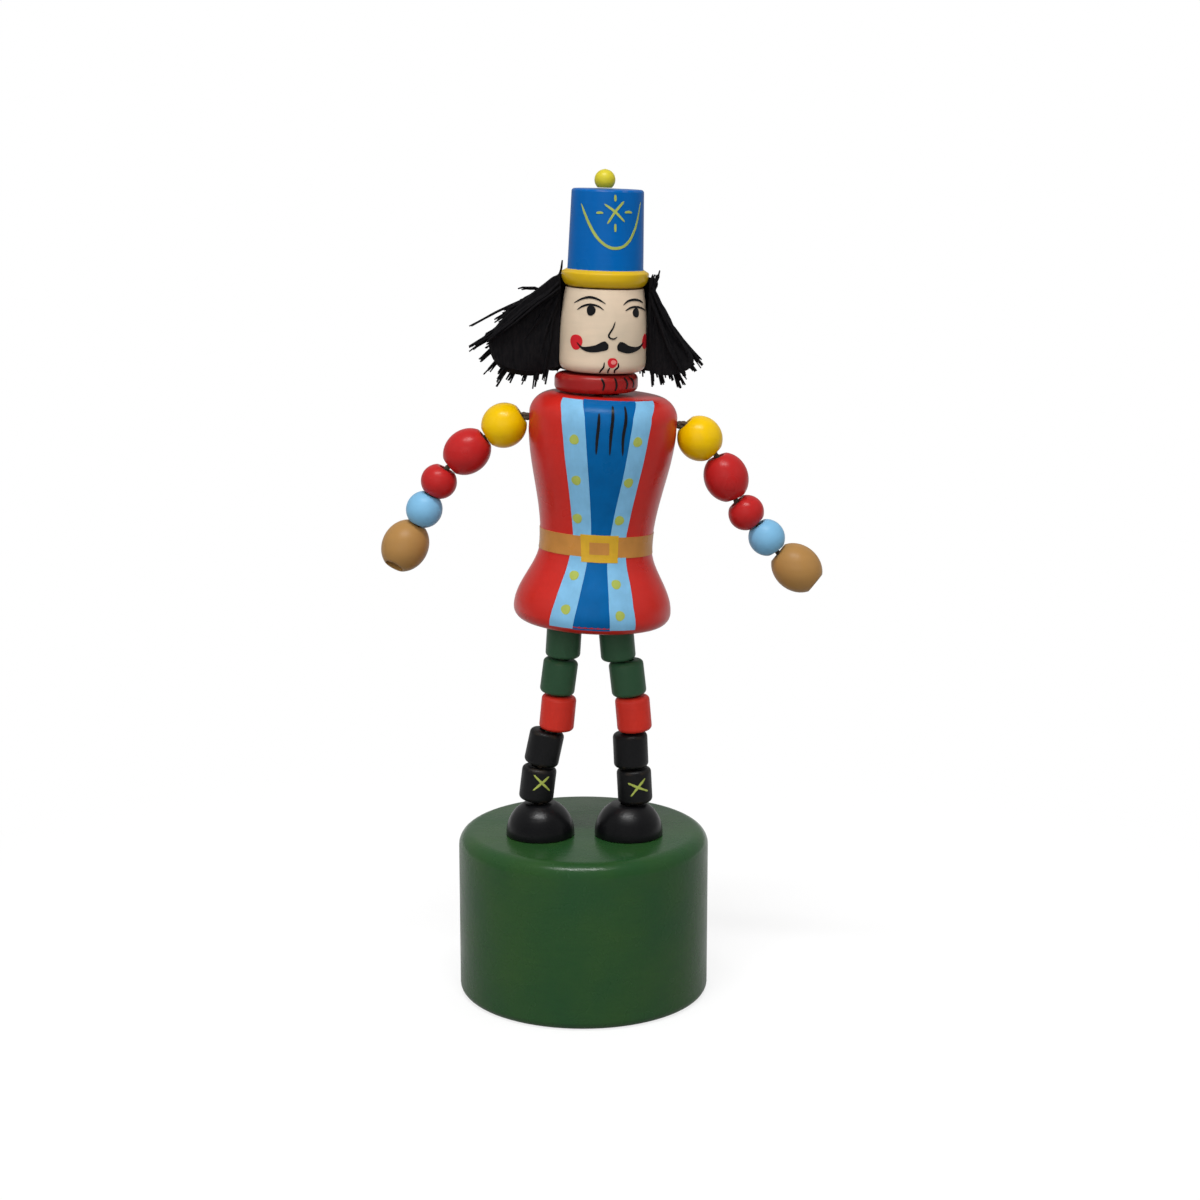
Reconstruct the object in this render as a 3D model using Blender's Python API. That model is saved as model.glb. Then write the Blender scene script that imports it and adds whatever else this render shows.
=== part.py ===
"""Thumb push puppet: a strung wooden soldier on a round base with a sprung button.

Cords run from the button up through the legs, cross in the torso and end in the hands.
A spring under the base top keeps them taut, and pressing the button lets the beads sag.
Left and right are as seen from the front, which faces -Y. Lengths are in metres.
"""

import math

import bmesh
import bpy
from mathutils import Matrix, Vector

SEAT_GAP = 0.0002
BEAD_GAP = 0.00025

BASE_RADIUS = 0.0225
BASE_HEIGHT = 0.030
BASE_TOP_ROUND = 0.0027
BASE_FOOT_ROUND = 0.0015
CAVITY_RADIUS = 0.017
BASE_TOP_THICKNESS = 0.008

BUTTON_CLEARANCE = 0.0004
BUTTON_RECESS = 0.0025
BUTTON_THICKNESS = 0.0065
BUTTON_ROUND = 0.0008
BUTTON_TRAVEL = 0.0085
SPIGOT_RADIUS = 0.0044
BUTTON_HOLE_RADIUS = 0.0009

SPRING_WIRE_RADIUS = 0.0004
SPRING_CLEARANCE = 0.0006
SPRING_TURNS = 5
SPRING_STEPS = 10

FOOT_RADIUS = 0.0061
LEFT_FOOT_HEIGHT = 0.0057
RIGHT_FOOT_HEIGHT = 0.0055
FOOT_DROP = 0.0003
LEFT_FOOT_X = -0.0077
RIGHT_FOOT_X = 0.0081
# The figure stands in front of the base's axis.
FIGURE_Y = -0.0038

LEG_RADIUS = 0.00308
LEG_LENGTH = 0.00625
LEG_ROUND = 0.0008
LEG_BORE_RADIUS = 0.0015

TORSO_HEIGHT = 0.0400
HEM_RADIUS = 0.0138
HEM_ROUND = 0.0022
WAIST_RADIUS = 0.00980
WAIST_HEIGHT = 0.0138
CHEST_RADIUS = 0.01285
CHEST_DROP = 0.0047
CHEST_HEIGHT = TORSO_HEIGHT - CHEST_DROP
SHOULDER_ROUND = 0.0039
TORSO_SHIFT = 0.0002
BOW_LEAD = 0.0035
BOW_DROP_BEADS = 2.7
HIP_X = 0.0049
SHOULDER_DROP = 0.0049
SHOULDER_RISE = 0.0005
SHOULDER_HEIGHT = TORSO_HEIGHT - SHOULDER_DROP
SHOULDER_BORE_RADIUS = 0.0017
NECK_BORE_RADIUS = 0.0026
NECK_BORE_BELOW = 0.0027

COLLAR_RADIUS = 0.0072
COLLAR_HEIGHT = 0.0031
COLLAR_ROUND = 0.0010
COLLAR_SLIP = -0.0015
COLLAR_LEAN = 1.0

HEAD_TOP_RADIUS = 0.0067
HEAD_CHEEK_RADIUS = 0.0075
HEAD_HEIGHT = 0.0142
HEAD_ROUND = 0.0017
HEAD_SLIP = 0.0010
HEAD_LEAN = 1.8
NECK_CORD_BORE_RADIUS = 0.0015
KNOT_POCKET_RADIUS = 0.0024
KNOT_POCKET_DEPTH = 0.0044
NECK_KNOT_LIFT = 0.0012

BRIM_RADIUS = 0.00747
BRIM_UNDER_RADIUS = 0.0060
BRIM_HEIGHT = 0.0030
CROWN_FOOT_RADIUS = 0.0065
CROWN_TOP_RADIUS = 0.00615
CROWN_HEIGHT = 0.0134
CROWN_ROUND = 0.0005
POMPOM_RADIUS = 0.0018
POMPOM_SEAT_RADIUS = 0.0012
POMPOM_SHIFT = -0.00055

HAIR_START = 80.0
HAIR_TOP_THICKNESS = 0.0012
HAIR_INNER_GAP = 0.0003
HAIR_LEFT_REACH = 0.0225
HAIR_RIGHT_REACH = 0.0162
HAIR_BACK_REACH = 0.0135
HAIR_TIP_DROP = 0.0125
HAIR_HEM_DROP = 0.0166
HAIR_HEM_INSET = 0.0045
HAIR_UNDER_DROP = 0.0138
HAIR_STATIONS = 15
HAIR_BULGE_DROP = 0.00625
HAIR_LEFT_BULGE = 0.80
HAIR_RIGHT_BULGE = 0.45
HAIR_BACK_BULGE = 0.60

CORD_RADIUS = 0.00045
CORD_STEP = 0.0024
CORD_SIDE = 0.0006
CORD_BEND = 0.0024
KNOT_RADIUS = 0.0013
KNOT_LENGTH = 0.0024
KNOT_STEPS = 4
KNOT_END_SHARE = 0.15
NECK_KNOT_RADIUS = 0.0009
NECK_LOOP_RADIUS = 0.00175
NECK_KNOT_SIDE = 0.0013

ARM_BORE_RADIUS = 0.0012
HAND_HOLE_RADIUS = 0.00165
HAND_HOLE_DEPTH = 0.0042
HAND_BORE_RADIUS = 0.0009

# Each leg bead from the foot up: its lean towards +X in degrees, and its slip on the bead below.
LEG_NAMES = ("boot_lower", "boot_upper", "knee", "thigh_lower", "thigh_upper")
LEG_COLOURS = ("black", "black", "red", "green", "green")
LEG_LEANS = {"left": (7.0, 12.0, 5.5, 7.5, 3.5), "right": (-3.0, -2.5, -5.0, -6.5, -5.0)}
LEG_SLIPS = {
    "left": (-0.0008, 0.0001, 0.0014, -0.0005, 0.0002),
    "right": (0.0012, -0.0004, 0.0009, -0.0004, -0.0012),
}
# Where each leg bead hinges on its front rim: 0 at its foot, on what is below; 1 at its top.
LEG_HINGES = (0, 0, 1, 1, 1)

# Each arm bead from the shoulder out: name, radius, length, radius of its flat ends, colour.
ARM_BEADS = (
    ("shoulder", 0.0040, 0.0071, 0.0018, "yellow"),
    ("upper_arm", 0.0039, 0.0078, 0.0018, "red"),
    ("forearm", 0.0032, 0.0050, 0.0018, "red"),
    ("cuff", 0.0032, 0.0055, 0.0017, "sky"),
    ("hand", 0.0041, 0.0084, 0.0019, "tan"),
)
# How far each arm bead points below the horizontal, in degrees.
ARM_DROOPS = {"left": (32.0, 39.0, 61.0, 63.0, 61.0), "right": (46.0, 67.0, 47.0, 54.0, 38.0)}
SIDE_SIGN = {"left": -1, "right": 1}

BASE_SEGMENTS = 48
BODY_SEGMENTS = 28
BEAD_SEGMENTS = 16
BORE_SEGMENTS = 12
CUT_MARGIN = 0.001
SHARP_ANGLE = 35.0
MERGE_DISTANCE = 1e-7
CORD_BEVEL_STEPS = 2
WIRE_BEVEL_STEPS = 1

COLOURS = {
    "base_green": ((0.030, 0.090, 0.033), 0.35),
    "green": ((0.030, 0.068, 0.036), 0.45),
    "red": ((0.440, 0.034, 0.024), 0.35),
    "black": ((0.010, 0.010, 0.011), 0.40),
    "yellow": ((0.720, 0.450, 0.006), 0.35),
    "sky": ((0.200, 0.430, 0.620), 0.40),
    "tan": ((0.370, 0.200, 0.065), 0.45),
    "skin": ((0.640, 0.520, 0.410), 0.45),
    "blue": ((0.004, 0.125, 0.400), 0.35),
    "yarn": ((0.006, 0.006, 0.008), 0.95),
    "cord": ((0.600, 0.560, 0.480), 0.90),
    "wood": ((0.560, 0.380, 0.210), 0.60),
    "steel": ((0.550, 0.550, 0.560), 0.30),
}


class Seat:
    """A flat end of a piece: its centre, and the lean of its outward direction from +Z to +X."""

    def __init__(self, centre, lean):
        self.centre = Vector(centre)
        self.lean = lean

    def out(self):
        return Vector((math.sin(self.lean), 0, math.cos(self.lean)))

    def across(self):
        return Vector((math.cos(self.lean), 0, -math.sin(self.lean)))

    def next_foot(self, lean, rim, corner, slip, gap):
        """Where a leaning piece that touches this seat with its rim has the centre of its foot."""
        tilt = abs(lean - self.lean)
        lift = gap + rim * math.sin(tilt) + corner * (1 - math.cos(tilt))
        return self.centre + self.across() * slip + self.out() * lift


def direction(lean):
    return Vector((math.sin(lean), 0, math.cos(lean)))


def placed(point, lean):
    return Matrix.Translation(point) @ Matrix.Rotation(lean, 4, "Y")


def paint(name):
    known = bpy.data.materials.get(name)
    if known:
        return known
    colour, roughness = COLOURS[name]
    made = bpy.data.materials.new(name)
    made.use_nodes = True
    shader = made.node_tree.nodes["Principled BSDF"]
    shader.inputs["Base Color"].default_value = (*colour, 1)
    shader.inputs["Roughness"].default_value = roughness
    shader.inputs["Metallic"].default_value = 1.0 if name == "steel" else 0.0
    return made


def add_object(name, data, colour, matrix, parent):
    made = bpy.data.objects.new(name, data)
    data.materials.append(paint(colour))
    bpy.context.scene.collection.objects.link(made)
    made.parent = parent
    made.matrix_local = matrix
    return made


def arc(radius, height, size, start, end, steps):
    """Points of a rounded corner of a turned profile, from start to end in degrees."""
    points = []
    for i in range(steps + 1):
        angle = math.radians(start + (end - start) * i / steps)
        points.append((radius + size * math.cos(angle), height + size * math.sin(angle)))
    return points


def turned(name, profile, segments, pivot=(0, 0, 0)):
    """A mesh turned about Z from a closed (radius, height) profile, with pivot as its origin."""
    shape = bmesh.new()
    verts = [shape.verts.new((radius, 0, height)) for radius, height in profile]
    edges = [shape.edges.new((a, b)) for a, b in zip(verts, verts[1:] + verts[:1])]
    bmesh.ops.spin(
        shape, geom=verts + edges, axis=(0, 0, 1), cent=(0, 0, 0), angle=2 * math.pi,
        steps=segments, use_merge=True,
    )
    bmesh.ops.remove_doubles(shape, verts=shape.verts, dist=MERGE_DISTANCE)
    bmesh.ops.recalc_face_normals(shape, faces=shape.faces)
    bmesh.ops.translate(shape, verts=shape.verts, vec=-Vector(pivot))
    return to_mesh(name, shape)


def to_mesh(name, shape):
    mesh = bpy.data.meshes.new(name)
    shape.to_mesh(mesh)
    shape.free()
    mesh.shade_smooth()
    mesh.set_sharp_from_angle(angle=math.radians(SHARP_ANGLE))
    return mesh


def bore(target, start, end, radius, parent):
    """Cut a round hole from start to end through target, both in the parent's space."""
    line = Vector(end) - Vector(start)
    shape = bmesh.new()
    bmesh.ops.create_cone(
        shape, cap_ends=True, segments=BORE_SEGMENTS, radius1=radius, radius2=radius,
        depth=line.length,
    )
    cutter = bpy.data.objects.new(target.name + "_cutter", to_mesh("cutter", shape))
    bpy.context.scene.collection.objects.link(cutter)
    cutter.parent = parent
    turn = line.to_track_quat("Z", "Y").to_matrix().to_4x4()
    cutter.matrix_local = Matrix.Translation((Vector(start) + Vector(end)) / 2) @ turn
    cutter.hide_render = True
    cutter.display_type = "WIRE"
    cut = target.modifiers.new("bore", "BOOLEAN")
    cut.operation = "DIFFERENCE"
    cut.solver = "EXACT"
    cut.object = cutter


def smooth_route(points, step):
    """Points about a step apart on a smooth curve through the route's own points."""
    ends = [points[0] * 2 - points[1]] + points + [points[-1] * 2 - points[-2]]
    route = [points[0]]
    for before, start, end, after in zip(ends, ends[1:], ends[2:], ends[3:]):
        span = (end - start).length
        leave = (end - before).normalized() * span
        arrive = (after - start).normalized() * span
        pieces = max(1, round(span / step))
        for i in range(1, pieces + 1):
            t = i / pieces
            route.append(
                start * (2 * t**3 - 3 * t**2 + 1) + leave * (t**3 - 2 * t**2 + t)
                + end * (3 * t**2 - 2 * t**3) + arrive * (t**3 - t**2)
            )
    return route


def knot(end, along, radius):
    """Points of a knot that hangs from end, each with its share of the cord's radius."""
    swell = radius / CORD_RADIUS
    points = []
    for i in range(1, KNOT_STEPS + 1):
        turn = KNOT_END_SHARE + (1 - 2 * KNOT_END_SHARE) * i / KNOT_STEPS
        thick = 1 + (swell - 1) * math.sin(math.pi * turn)
        points.append((end + along * KNOT_LENGTH * i / KNOT_STEPS, thick))
    return points


def cord(name, points, knot_radius, parent):
    route = smooth_route(points, CORD_STEP)
    first = knot(route[0], (route[0] - route[1]).normalized(), knot_radius)
    last = knot(route[-1], (route[-1] - route[-2]).normalized(), knot_radius)
    beads = first[::-1] + [(p, 1) for p in route] + last
    return tube(name, beads, CORD_RADIUS, CORD_BEVEL_STEPS, "cord", parent)


def tube(name, beads, radius, resolution, colour, parent):
    data = bpy.data.curves.new(name, "CURVE")
    data.dimensions = "3D"
    data.bevel_depth = radius
    data.bevel_resolution = resolution
    data.use_fill_caps = True
    spline = data.splines.new("POLY")
    spline.points.add(len(beads) - 1)
    for point, (place, swell) in zip(spline.points, beads):
        point.co = (*place, 1)
        point.radius = swell
    return add_object(name, data, colour, Matrix.Identity(4), parent)


def make_base(parent):
    ceiling = BASE_HEIGHT - BASE_TOP_THICKNESS
    profile = [(CAVITY_RADIUS, 0)]
    profile += arc(BASE_RADIUS - BASE_FOOT_ROUND, BASE_FOOT_ROUND, BASE_FOOT_ROUND, -90, 0, 3)
    profile += arc(BASE_RADIUS - BASE_TOP_ROUND, BASE_HEIGHT - BASE_TOP_ROUND, BASE_TOP_ROUND, 0, 90, 5)
    profile += [(0, BASE_HEIGHT), (0, ceiling), (CAVITY_RADIUS, ceiling)]
    base = add_object("base", turned("base", profile, BASE_SEGMENTS), "base_green", Matrix(), parent)
    for x in (LEFT_FOOT_X, RIGHT_FOOT_X):
        low = Vector((x, FIGURE_Y, ceiling - CUT_MARGIN))
        high = Vector((x, FIGURE_Y, BASE_HEIGHT + CUT_MARGIN))
        bore(base, low, high, LEG_BORE_RADIUS, parent)


def make_button(parent):
    """The thumb button: its spigot centres the spring and stops the stroke on the base top."""
    radius = CAVITY_RADIUS - BUTTON_CLEARANCE
    stroke_room = BASE_HEIGHT - BASE_TOP_THICKNESS - BUTTON_RECESS - BUTTON_THICKNESS
    spigot_top = BUTTON_THICKNESS + stroke_room - BUTTON_TRAVEL - SEAT_GAP
    profile = [(0, 0)]
    profile += arc(radius - BUTTON_ROUND, BUTTON_ROUND, BUTTON_ROUND, -90, 0, 2)
    profile += [(radius, BUTTON_THICKNESS), (SPIGOT_RADIUS, BUTTON_THICKNESS)]
    profile += [(SPIGOT_RADIUS, spigot_top), (0, spigot_top)]
    mesh = turned("push_button", profile, BODY_SEGMENTS)
    at = Matrix.Translation((0, 0, BUTTON_RECESS))
    button = add_object("push_button", mesh, "wood", at, parent)
    pocket = BUTTON_RECESS + KNOT_LENGTH + SEAT_GAP
    for x in (LEFT_FOOT_X, RIGHT_FOOT_X):
        under = Vector((x, FIGURE_Y, BUTTON_RECESS - CUT_MARGIN))
        above = Vector((x, FIGURE_Y, BUTTON_RECESS + BUTTON_THICKNESS + CUT_MARGIN))
        bore(button, under, above, BUTTON_HOLE_RADIUS, parent)
        bore(button, under, Vector((x, FIGURE_Y, pocket)), KNOT_RADIUS + SEAT_GAP, parent)


def make_spring(parent):
    coil_radius = SPIGOT_RADIUS + SPRING_CLEARANCE + SPRING_WIRE_RADIUS
    seat = SEAT_GAP + SPRING_WIRE_RADIUS
    low = BUTTON_RECESS + BUTTON_THICKNESS + seat
    high = BASE_HEIGHT - BASE_TOP_THICKNESS - seat
    count = SPRING_TURNS * SPRING_STEPS
    points = []
    for i in range(count + 1):
        angle = 2 * math.pi * i / SPRING_STEPS
        rise = low + (high - low) * i / count
        points.append(Vector((coil_radius * math.cos(angle), coil_radius * math.sin(angle), rise)))
    tube("return_spring", [(p, 1) for p in points], SPRING_WIRE_RADIUS, WIRE_BEVEL_STEPS, "steel", parent)
    far_apart = SPRING_STEPS // 2
    least = min(
        (a - b).length for i, a in enumerate(points) for b in points[i + far_apart:]
    )
    print("least gap between the spring's turns, mm:", (least - 2 * SPRING_WIRE_RADIUS) * 1000)


def make_foot(side, x, tall, parent):
    """A cut ball glued on the base. Returns its flat top."""
    low = math.asin(-FOOT_DROP / FOOT_RADIUS)
    high = math.asin((tall - FOOT_DROP) / FOOT_RADIUS)
    steps = 6
    profile = [(LEG_BORE_RADIUS, 0)]
    for i in range(steps + 1):
        angle = low + (high - low) * i / steps
        profile.append((FOOT_RADIUS * math.cos(angle), FOOT_DROP + FOOT_RADIUS * math.sin(angle)))
    profile.append((LEG_BORE_RADIUS, tall))
    name = side + "_foot"
    seat = Vector((x, FIGURE_Y, BASE_HEIGHT + SEAT_GAP))
    add_object(name, turned(name, profile, BODY_SEGMENTS), "black", Matrix.Translation(seat), parent)
    return Seat(seat + Vector((0, 0, tall)), 0)


def leg_profile():
    profile = [(LEG_BORE_RADIUS, 0)]
    profile += arc(LEG_RADIUS - LEG_ROUND, LEG_ROUND, LEG_ROUND, -90, 0, 2)
    profile += arc(LEG_RADIUS - LEG_ROUND, LEG_LENGTH - LEG_ROUND, LEG_ROUND, 0, 90, 2)
    profile.append((LEG_BORE_RADIUS, LEG_LENGTH))
    return profile


def make_leg(side, foot, parent):
    """Five short cylinders, each leaning on the one below. Returns the top and the cord's route."""
    seat = foot
    rim = LEG_RADIUS - LEG_ROUND
    route = []
    beads = zip(LEG_NAMES, LEG_COLOURS, LEG_LEANS[side], LEG_SLIPS[side], LEG_HINGES)
    for part, colour, degrees, slip, hinge in beads:
        lean = math.radians(degrees)
        low = seat.next_foot(lean, rim, LEG_ROUND, slip, BEAD_GAP)
        pivot = Vector((0, -rim, hinge * LEG_LENGTH))
        name = side + "_" + part
        mesh = turned(name, leg_profile(), BEAD_SEGMENTS, pivot)
        add_object(name, mesh, colour, placed(low, lean) @ Matrix.Translation(pivot), parent)
        route.append((seat.centre + low) / 2)
        route.append(low + direction(lean) * LEG_LENGTH / 2)
        seat = Seat(low + direction(lean) * LEG_LENGTH, lean)
    return seat, route


def torso_radius(height):
    """The coat's radius between hem and chest: a flared skirt, a waist and a broadening chest."""
    if height < WAIST_HEIGHT:
        share = (WAIST_HEIGHT - height) / (WAIST_HEIGHT - HEM_ROUND)
        wide = HEM_RADIUS
    else:
        share = (height - WAIST_HEIGHT) / (CHEST_HEIGHT - WAIST_HEIGHT)
        wide = CHEST_RADIUS
    return WAIST_RADIUS + (wide - WAIST_RADIUS) * (1 - math.cos(math.pi * share)) / 2


def torso_profile():
    profile = [(0, 0)]
    profile += arc(HEM_RADIUS - HEM_ROUND, HEM_ROUND, HEM_ROUND, -90, 0, 3)
    skirt_steps = 6
    for i in range(1, skirt_steps + 1):
        height = HEM_ROUND + (WAIST_HEIGHT - HEM_ROUND) * i / skirt_steps
        profile.append((torso_radius(height), height))
    chest_steps = 6
    for i in range(1, chest_steps):
        height = WAIST_HEIGHT + (CHEST_HEIGHT - WAIST_HEIGHT) * i / chest_steps
        profile.append((torso_radius(height), height))
    rise = TORSO_HEIGHT - CHEST_HEIGHT - SHOULDER_ROUND
    profile.append((CHEST_RADIUS, CHEST_HEIGHT))
    profile += arc(CHEST_RADIUS - SHOULDER_ROUND, CHEST_HEIGHT + rise, SHOULDER_ROUND, 0, 90, 4)
    profile.append((0, TORSO_HEIGHT))
    return profile


def make_torso(left_hip, right_hip, parent):
    """The coat, standing on both legs, so that their heights set its lean. Returns its frame."""
    across = right_hip.centre - left_hip.centre
    lean = math.atan2(-across.z, across.x)
    middle = (left_hip.centre + right_hip.centre) / 2
    rim = LEG_RADIUS - LEG_ROUND
    tilt = max(abs(lean - left_hip.lean), abs(lean - right_hip.lean))
    lift = BEAD_GAP + rim * math.sin(tilt)
    foot = middle + direction(lean) * lift + Seat(middle, lean).across() * TORSO_SHIFT
    frame = placed(foot, lean)
    pivot = Vector((0, -rim - BOW_LEAD, -BOW_DROP_BEADS * LEG_LENGTH))
    mesh = turned("torso", torso_profile(), BODY_SEGMENTS, pivot)
    torso = add_object("torso", mesh, "red", frame @ Matrix.Translation(pivot), parent)
    below = -CUT_MARGIN
    chest = SHOULDER_HEIGHT
    for x in (-HIP_X, HIP_X):
        bore(torso, frame @ Vector((x, 0, below)), frame @ Vector((x, 0, chest)), LEG_BORE_RADIUS, parent)
    reach = CHEST_RADIUS + CUT_MARGIN
    left = frame @ Vector((-reach, 0, chest))
    right = frame @ Vector((reach, 0, chest))
    bore(torso, left, right, SHOULDER_BORE_RADIUS, parent)
    neck_low = frame @ Vector((0, 0, chest - NECK_BORE_BELOW))
    neck_high = frame @ Vector((0, 0, TORSO_HEIGHT + CUT_MARGIN))
    bore(torso, neck_low, neck_high, NECK_BORE_RADIUS, parent)
    return frame, lean


def oval_profile(radius, length, flat, bore_radius):
    """A turned oval bead with flat ends and a bore."""
    swing = math.acos(flat / radius)
    half_axis = length / 2 / math.sin(swing)
    steps = 7
    profile = [(bore_radius, 0)]
    for i in range(steps + 1):
        angle = -swing + 2 * swing * i / steps
        profile.append((radius * math.cos(angle), length / 2 + half_axis * math.sin(angle)))
    profile.append((bore_radius, length))
    return profile


def hand_profile(radius, length, flat):
    """The hand is an oval bead whose bore widens at its outer end, where the knot sits."""
    profile = oval_profile(radius, length, flat, HAND_BORE_RADIUS)
    step = length - HAND_HOLE_DEPTH
    return profile[:-1] + [(HAND_HOLE_RADIUS, length), (HAND_HOLE_RADIUS, step), (HAND_BORE_RADIUS, step)]


def make_arm(side, torso_frame, torso_lean, parent):
    """Five oval beads from the shoulder out. Returns the cord's route to the knot in the hand."""
    sign = SIDE_SIGN[side]
    wall = torso_radius(SHOULDER_HEIGHT)
    seat = Seat(torso_frame @ Vector((sign * wall, 0, SHOULDER_HEIGHT)), torso_lean + sign * math.pi / 2)
    seat_flat = None
    route = []
    for (part, radius, length, flat, colour), droop in zip(ARM_BEADS, ARM_DROOPS[side]):
        lean = sign * math.radians(90 + droop)
        rim = min(flat, seat_flat or flat)
        slip = -sign * SHOULDER_RISE if part == "shoulder" else 0
        low = seat.next_foot(lean, rim, 0, slip, BEAD_GAP)
        pivot = Vector((sign * flat, 0, 0))
        profile = oval_profile(radius, length, flat, ARM_BORE_RADIUS)
        if part == "hand":
            profile = hand_profile(radius, length, flat)
        name = side + "_" + part
        at = placed(low, lean) @ Matrix.Translation(pivot)
        add_object(name, turned(name, profile, BEAD_SEGMENTS, pivot), colour, at, parent)
        along = direction(lean)
        route.append((seat.centre + low) / 2)
        route.append(low + along * length / 2)
        seat = Seat(low + along * length, lean)
        seat_flat = flat
    knot_seat = ARM_BEADS[-1][2] - HAND_HOLE_DEPTH + SEAT_GAP
    route[-1] = low + along * knot_seat
    return route


def make_collar(torso_frame, torso_lean, parent):
    profile = [(NECK_CORD_BORE_RADIUS, 0)]
    profile += arc(COLLAR_RADIUS - COLLAR_ROUND, COLLAR_ROUND, COLLAR_ROUND, -90, 0, 3)
    profile += arc(COLLAR_RADIUS - COLLAR_ROUND, COLLAR_HEIGHT - COLLAR_ROUND, COLLAR_ROUND, 0, 90, 3)
    profile.append((NECK_CORD_BORE_RADIUS, COLLAR_HEIGHT))
    top = Seat(torso_frame @ Vector((0, 0, TORSO_HEIGHT)), torso_lean)
    lean = math.radians(COLLAR_LEAN)
    rim = COLLAR_RADIUS - COLLAR_ROUND
    low = top.next_foot(lean, rim, COLLAR_ROUND, COLLAR_SLIP, BEAD_GAP)
    pivot = Vector((0, -rim, 0))
    mesh = turned("collar", profile, BODY_SEGMENTS, pivot)
    add_object("collar", mesh, "red", placed(low + pivot, lean), parent)
    return Seat(low + direction(lean) * COLLAR_HEIGHT, lean), low


def make_head(collar_top, parent):
    """The head turns slightly barrel shaped, with a knot pocket under the hat. Returns its frame."""
    lean = math.radians(HEAD_LEAN)
    rim = HEAD_CHEEK_RADIUS - HEAD_ROUND
    low = collar_top.next_foot(lean, rim, HEAD_ROUND, HEAD_SLIP, BEAD_GAP)
    pocket = HEAD_HEIGHT - KNOT_POCKET_DEPTH
    profile = [(NECK_CORD_BORE_RADIUS, 0)]
    profile += arc(HEAD_CHEEK_RADIUS - HEAD_ROUND, HEAD_ROUND, HEAD_ROUND, -90, 0, 4)
    profile += [(HEAD_CHEEK_RADIUS, HEAD_HEIGHT / 2), (HEAD_TOP_RADIUS, HEAD_HEIGHT)]
    profile += [(KNOT_POCKET_RADIUS, HEAD_HEIGHT), (KNOT_POCKET_RADIUS, pocket)]
    profile.append((NECK_CORD_BORE_RADIUS, pocket))
    pivot = Vector((0, -rim, 0))
    mesh = turned("head", profile, BODY_SEGMENTS, pivot)
    add_object("head", mesh, "skin", placed(low + pivot, lean), parent)
    return placed(low, lean)


def make_hat(head_frame, parent):
    """A tall hat with a dished brim, turned in one piece, and the pompom on it."""
    profile = [(0, 0), (BRIM_UNDER_RADIUS, 0)]
    dish = BRIM_RADIUS - BRIM_UNDER_RADIUS
    rise = BRIM_HEIGHT - BRIM_RADIUS + CROWN_FOOT_RADIUS
    steps = 4
    for i in range(1, steps + 1):
        angle = math.pi / 2 * i / steps
        profile.append((BRIM_UNDER_RADIUS + dish * math.sin(angle), rise * (1 - math.cos(angle))))
    crown_top = BRIM_HEIGHT + CROWN_HEIGHT
    profile.append((CROWN_FOOT_RADIUS, BRIM_HEIGHT))
    profile += arc(CROWN_TOP_RADIUS - CROWN_ROUND, crown_top - CROWN_ROUND, CROWN_ROUND, 0, 90, 2)
    profile.append((0, crown_top))
    foot = head_frame @ Matrix.Translation((0, 0, HEAD_HEIGHT + SEAT_GAP))
    add_object("hat", turned("hat", profile, BODY_SEGMENTS), "blue", foot, parent)
    low = -math.acos(POMPOM_SEAT_RADIUS / POMPOM_RADIUS)
    ball = [(0, 0)]
    steps = 7
    for i in range(steps):
        angle = low + (math.pi / 2 - low) * i / steps
        height = math.sin(angle) - math.sin(low)
        ball.append((POMPOM_RADIUS * math.cos(angle), POMPOM_RADIUS * height))
    ball.append((0, POMPOM_RADIUS * (1 - math.sin(low))))
    seat = foot @ Matrix.Translation((POMPOM_SHIFT, 0, crown_top + SEAT_GAP))
    add_object("pompom", turned("pompom", ball, BEAD_SEGMENTS), "yellow", seat, parent)


def hair_blend(turn, left, right, back):
    """A value of the yarn's form between the back and one side, by the turn from the front in radians."""
    side = math.sin(turn) ** 2
    return back + ((left if math.sin(turn) < 0 else right) - back) * side


def make_hair(head_frame, parent):
    """A fringe of yarn glued round the back of the head, as one flaring solid."""
    top = HEAD_HEIGHT - SEAT_GAP
    inner = HEAD_CHEEK_RADIUS + HAIR_INNER_GAP
    shape = bmesh.new()
    rings = []
    for i in range(HAIR_STATIONS):
        turn = math.radians(HAIR_START + (360 - 2 * HAIR_START) * i / (HAIR_STATIONS - 1))
        reach = hair_blend(turn, HAIR_LEFT_REACH, HAIR_RIGHT_REACH, HAIR_BACK_REACH)
        bulge = hair_blend(turn, HAIR_LEFT_BULGE, HAIR_RIGHT_BULGE, HAIR_BACK_BULGE)
        crest = inner + HAIR_TOP_THICKNESS
        section = (
            (inner, top),
            (crest, top),
            (crest + (reach - crest) * bulge, top - HAIR_BULGE_DROP),
            (reach, top - HAIR_TIP_DROP),
            (reach - HAIR_HEM_INSET, top - HAIR_HEM_DROP),
            (inner, top - HAIR_UNDER_DROP),
        )
        out = Vector((math.sin(turn), -math.cos(turn), 0))
        rings.append([shape.verts.new(out * r + Vector((0, 0, z))) for r, z in section])
    for one, other in zip(rings, rings[1:]):
        for i in range(len(one)):
            j = (i + 1) % len(one)
            shape.faces.new((one[i], one[j], other[j], other[i]))
    shape.faces.new(rings[0])
    shape.faces.new(rings[-1][::-1])
    bmesh.ops.triangulate(shape, faces=shape.faces)
    bmesh.ops.recalc_face_normals(shape, faces=shape.faces)
    add_object("hair", to_mesh("hair", shape), "yarn", head_frame, parent)


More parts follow.
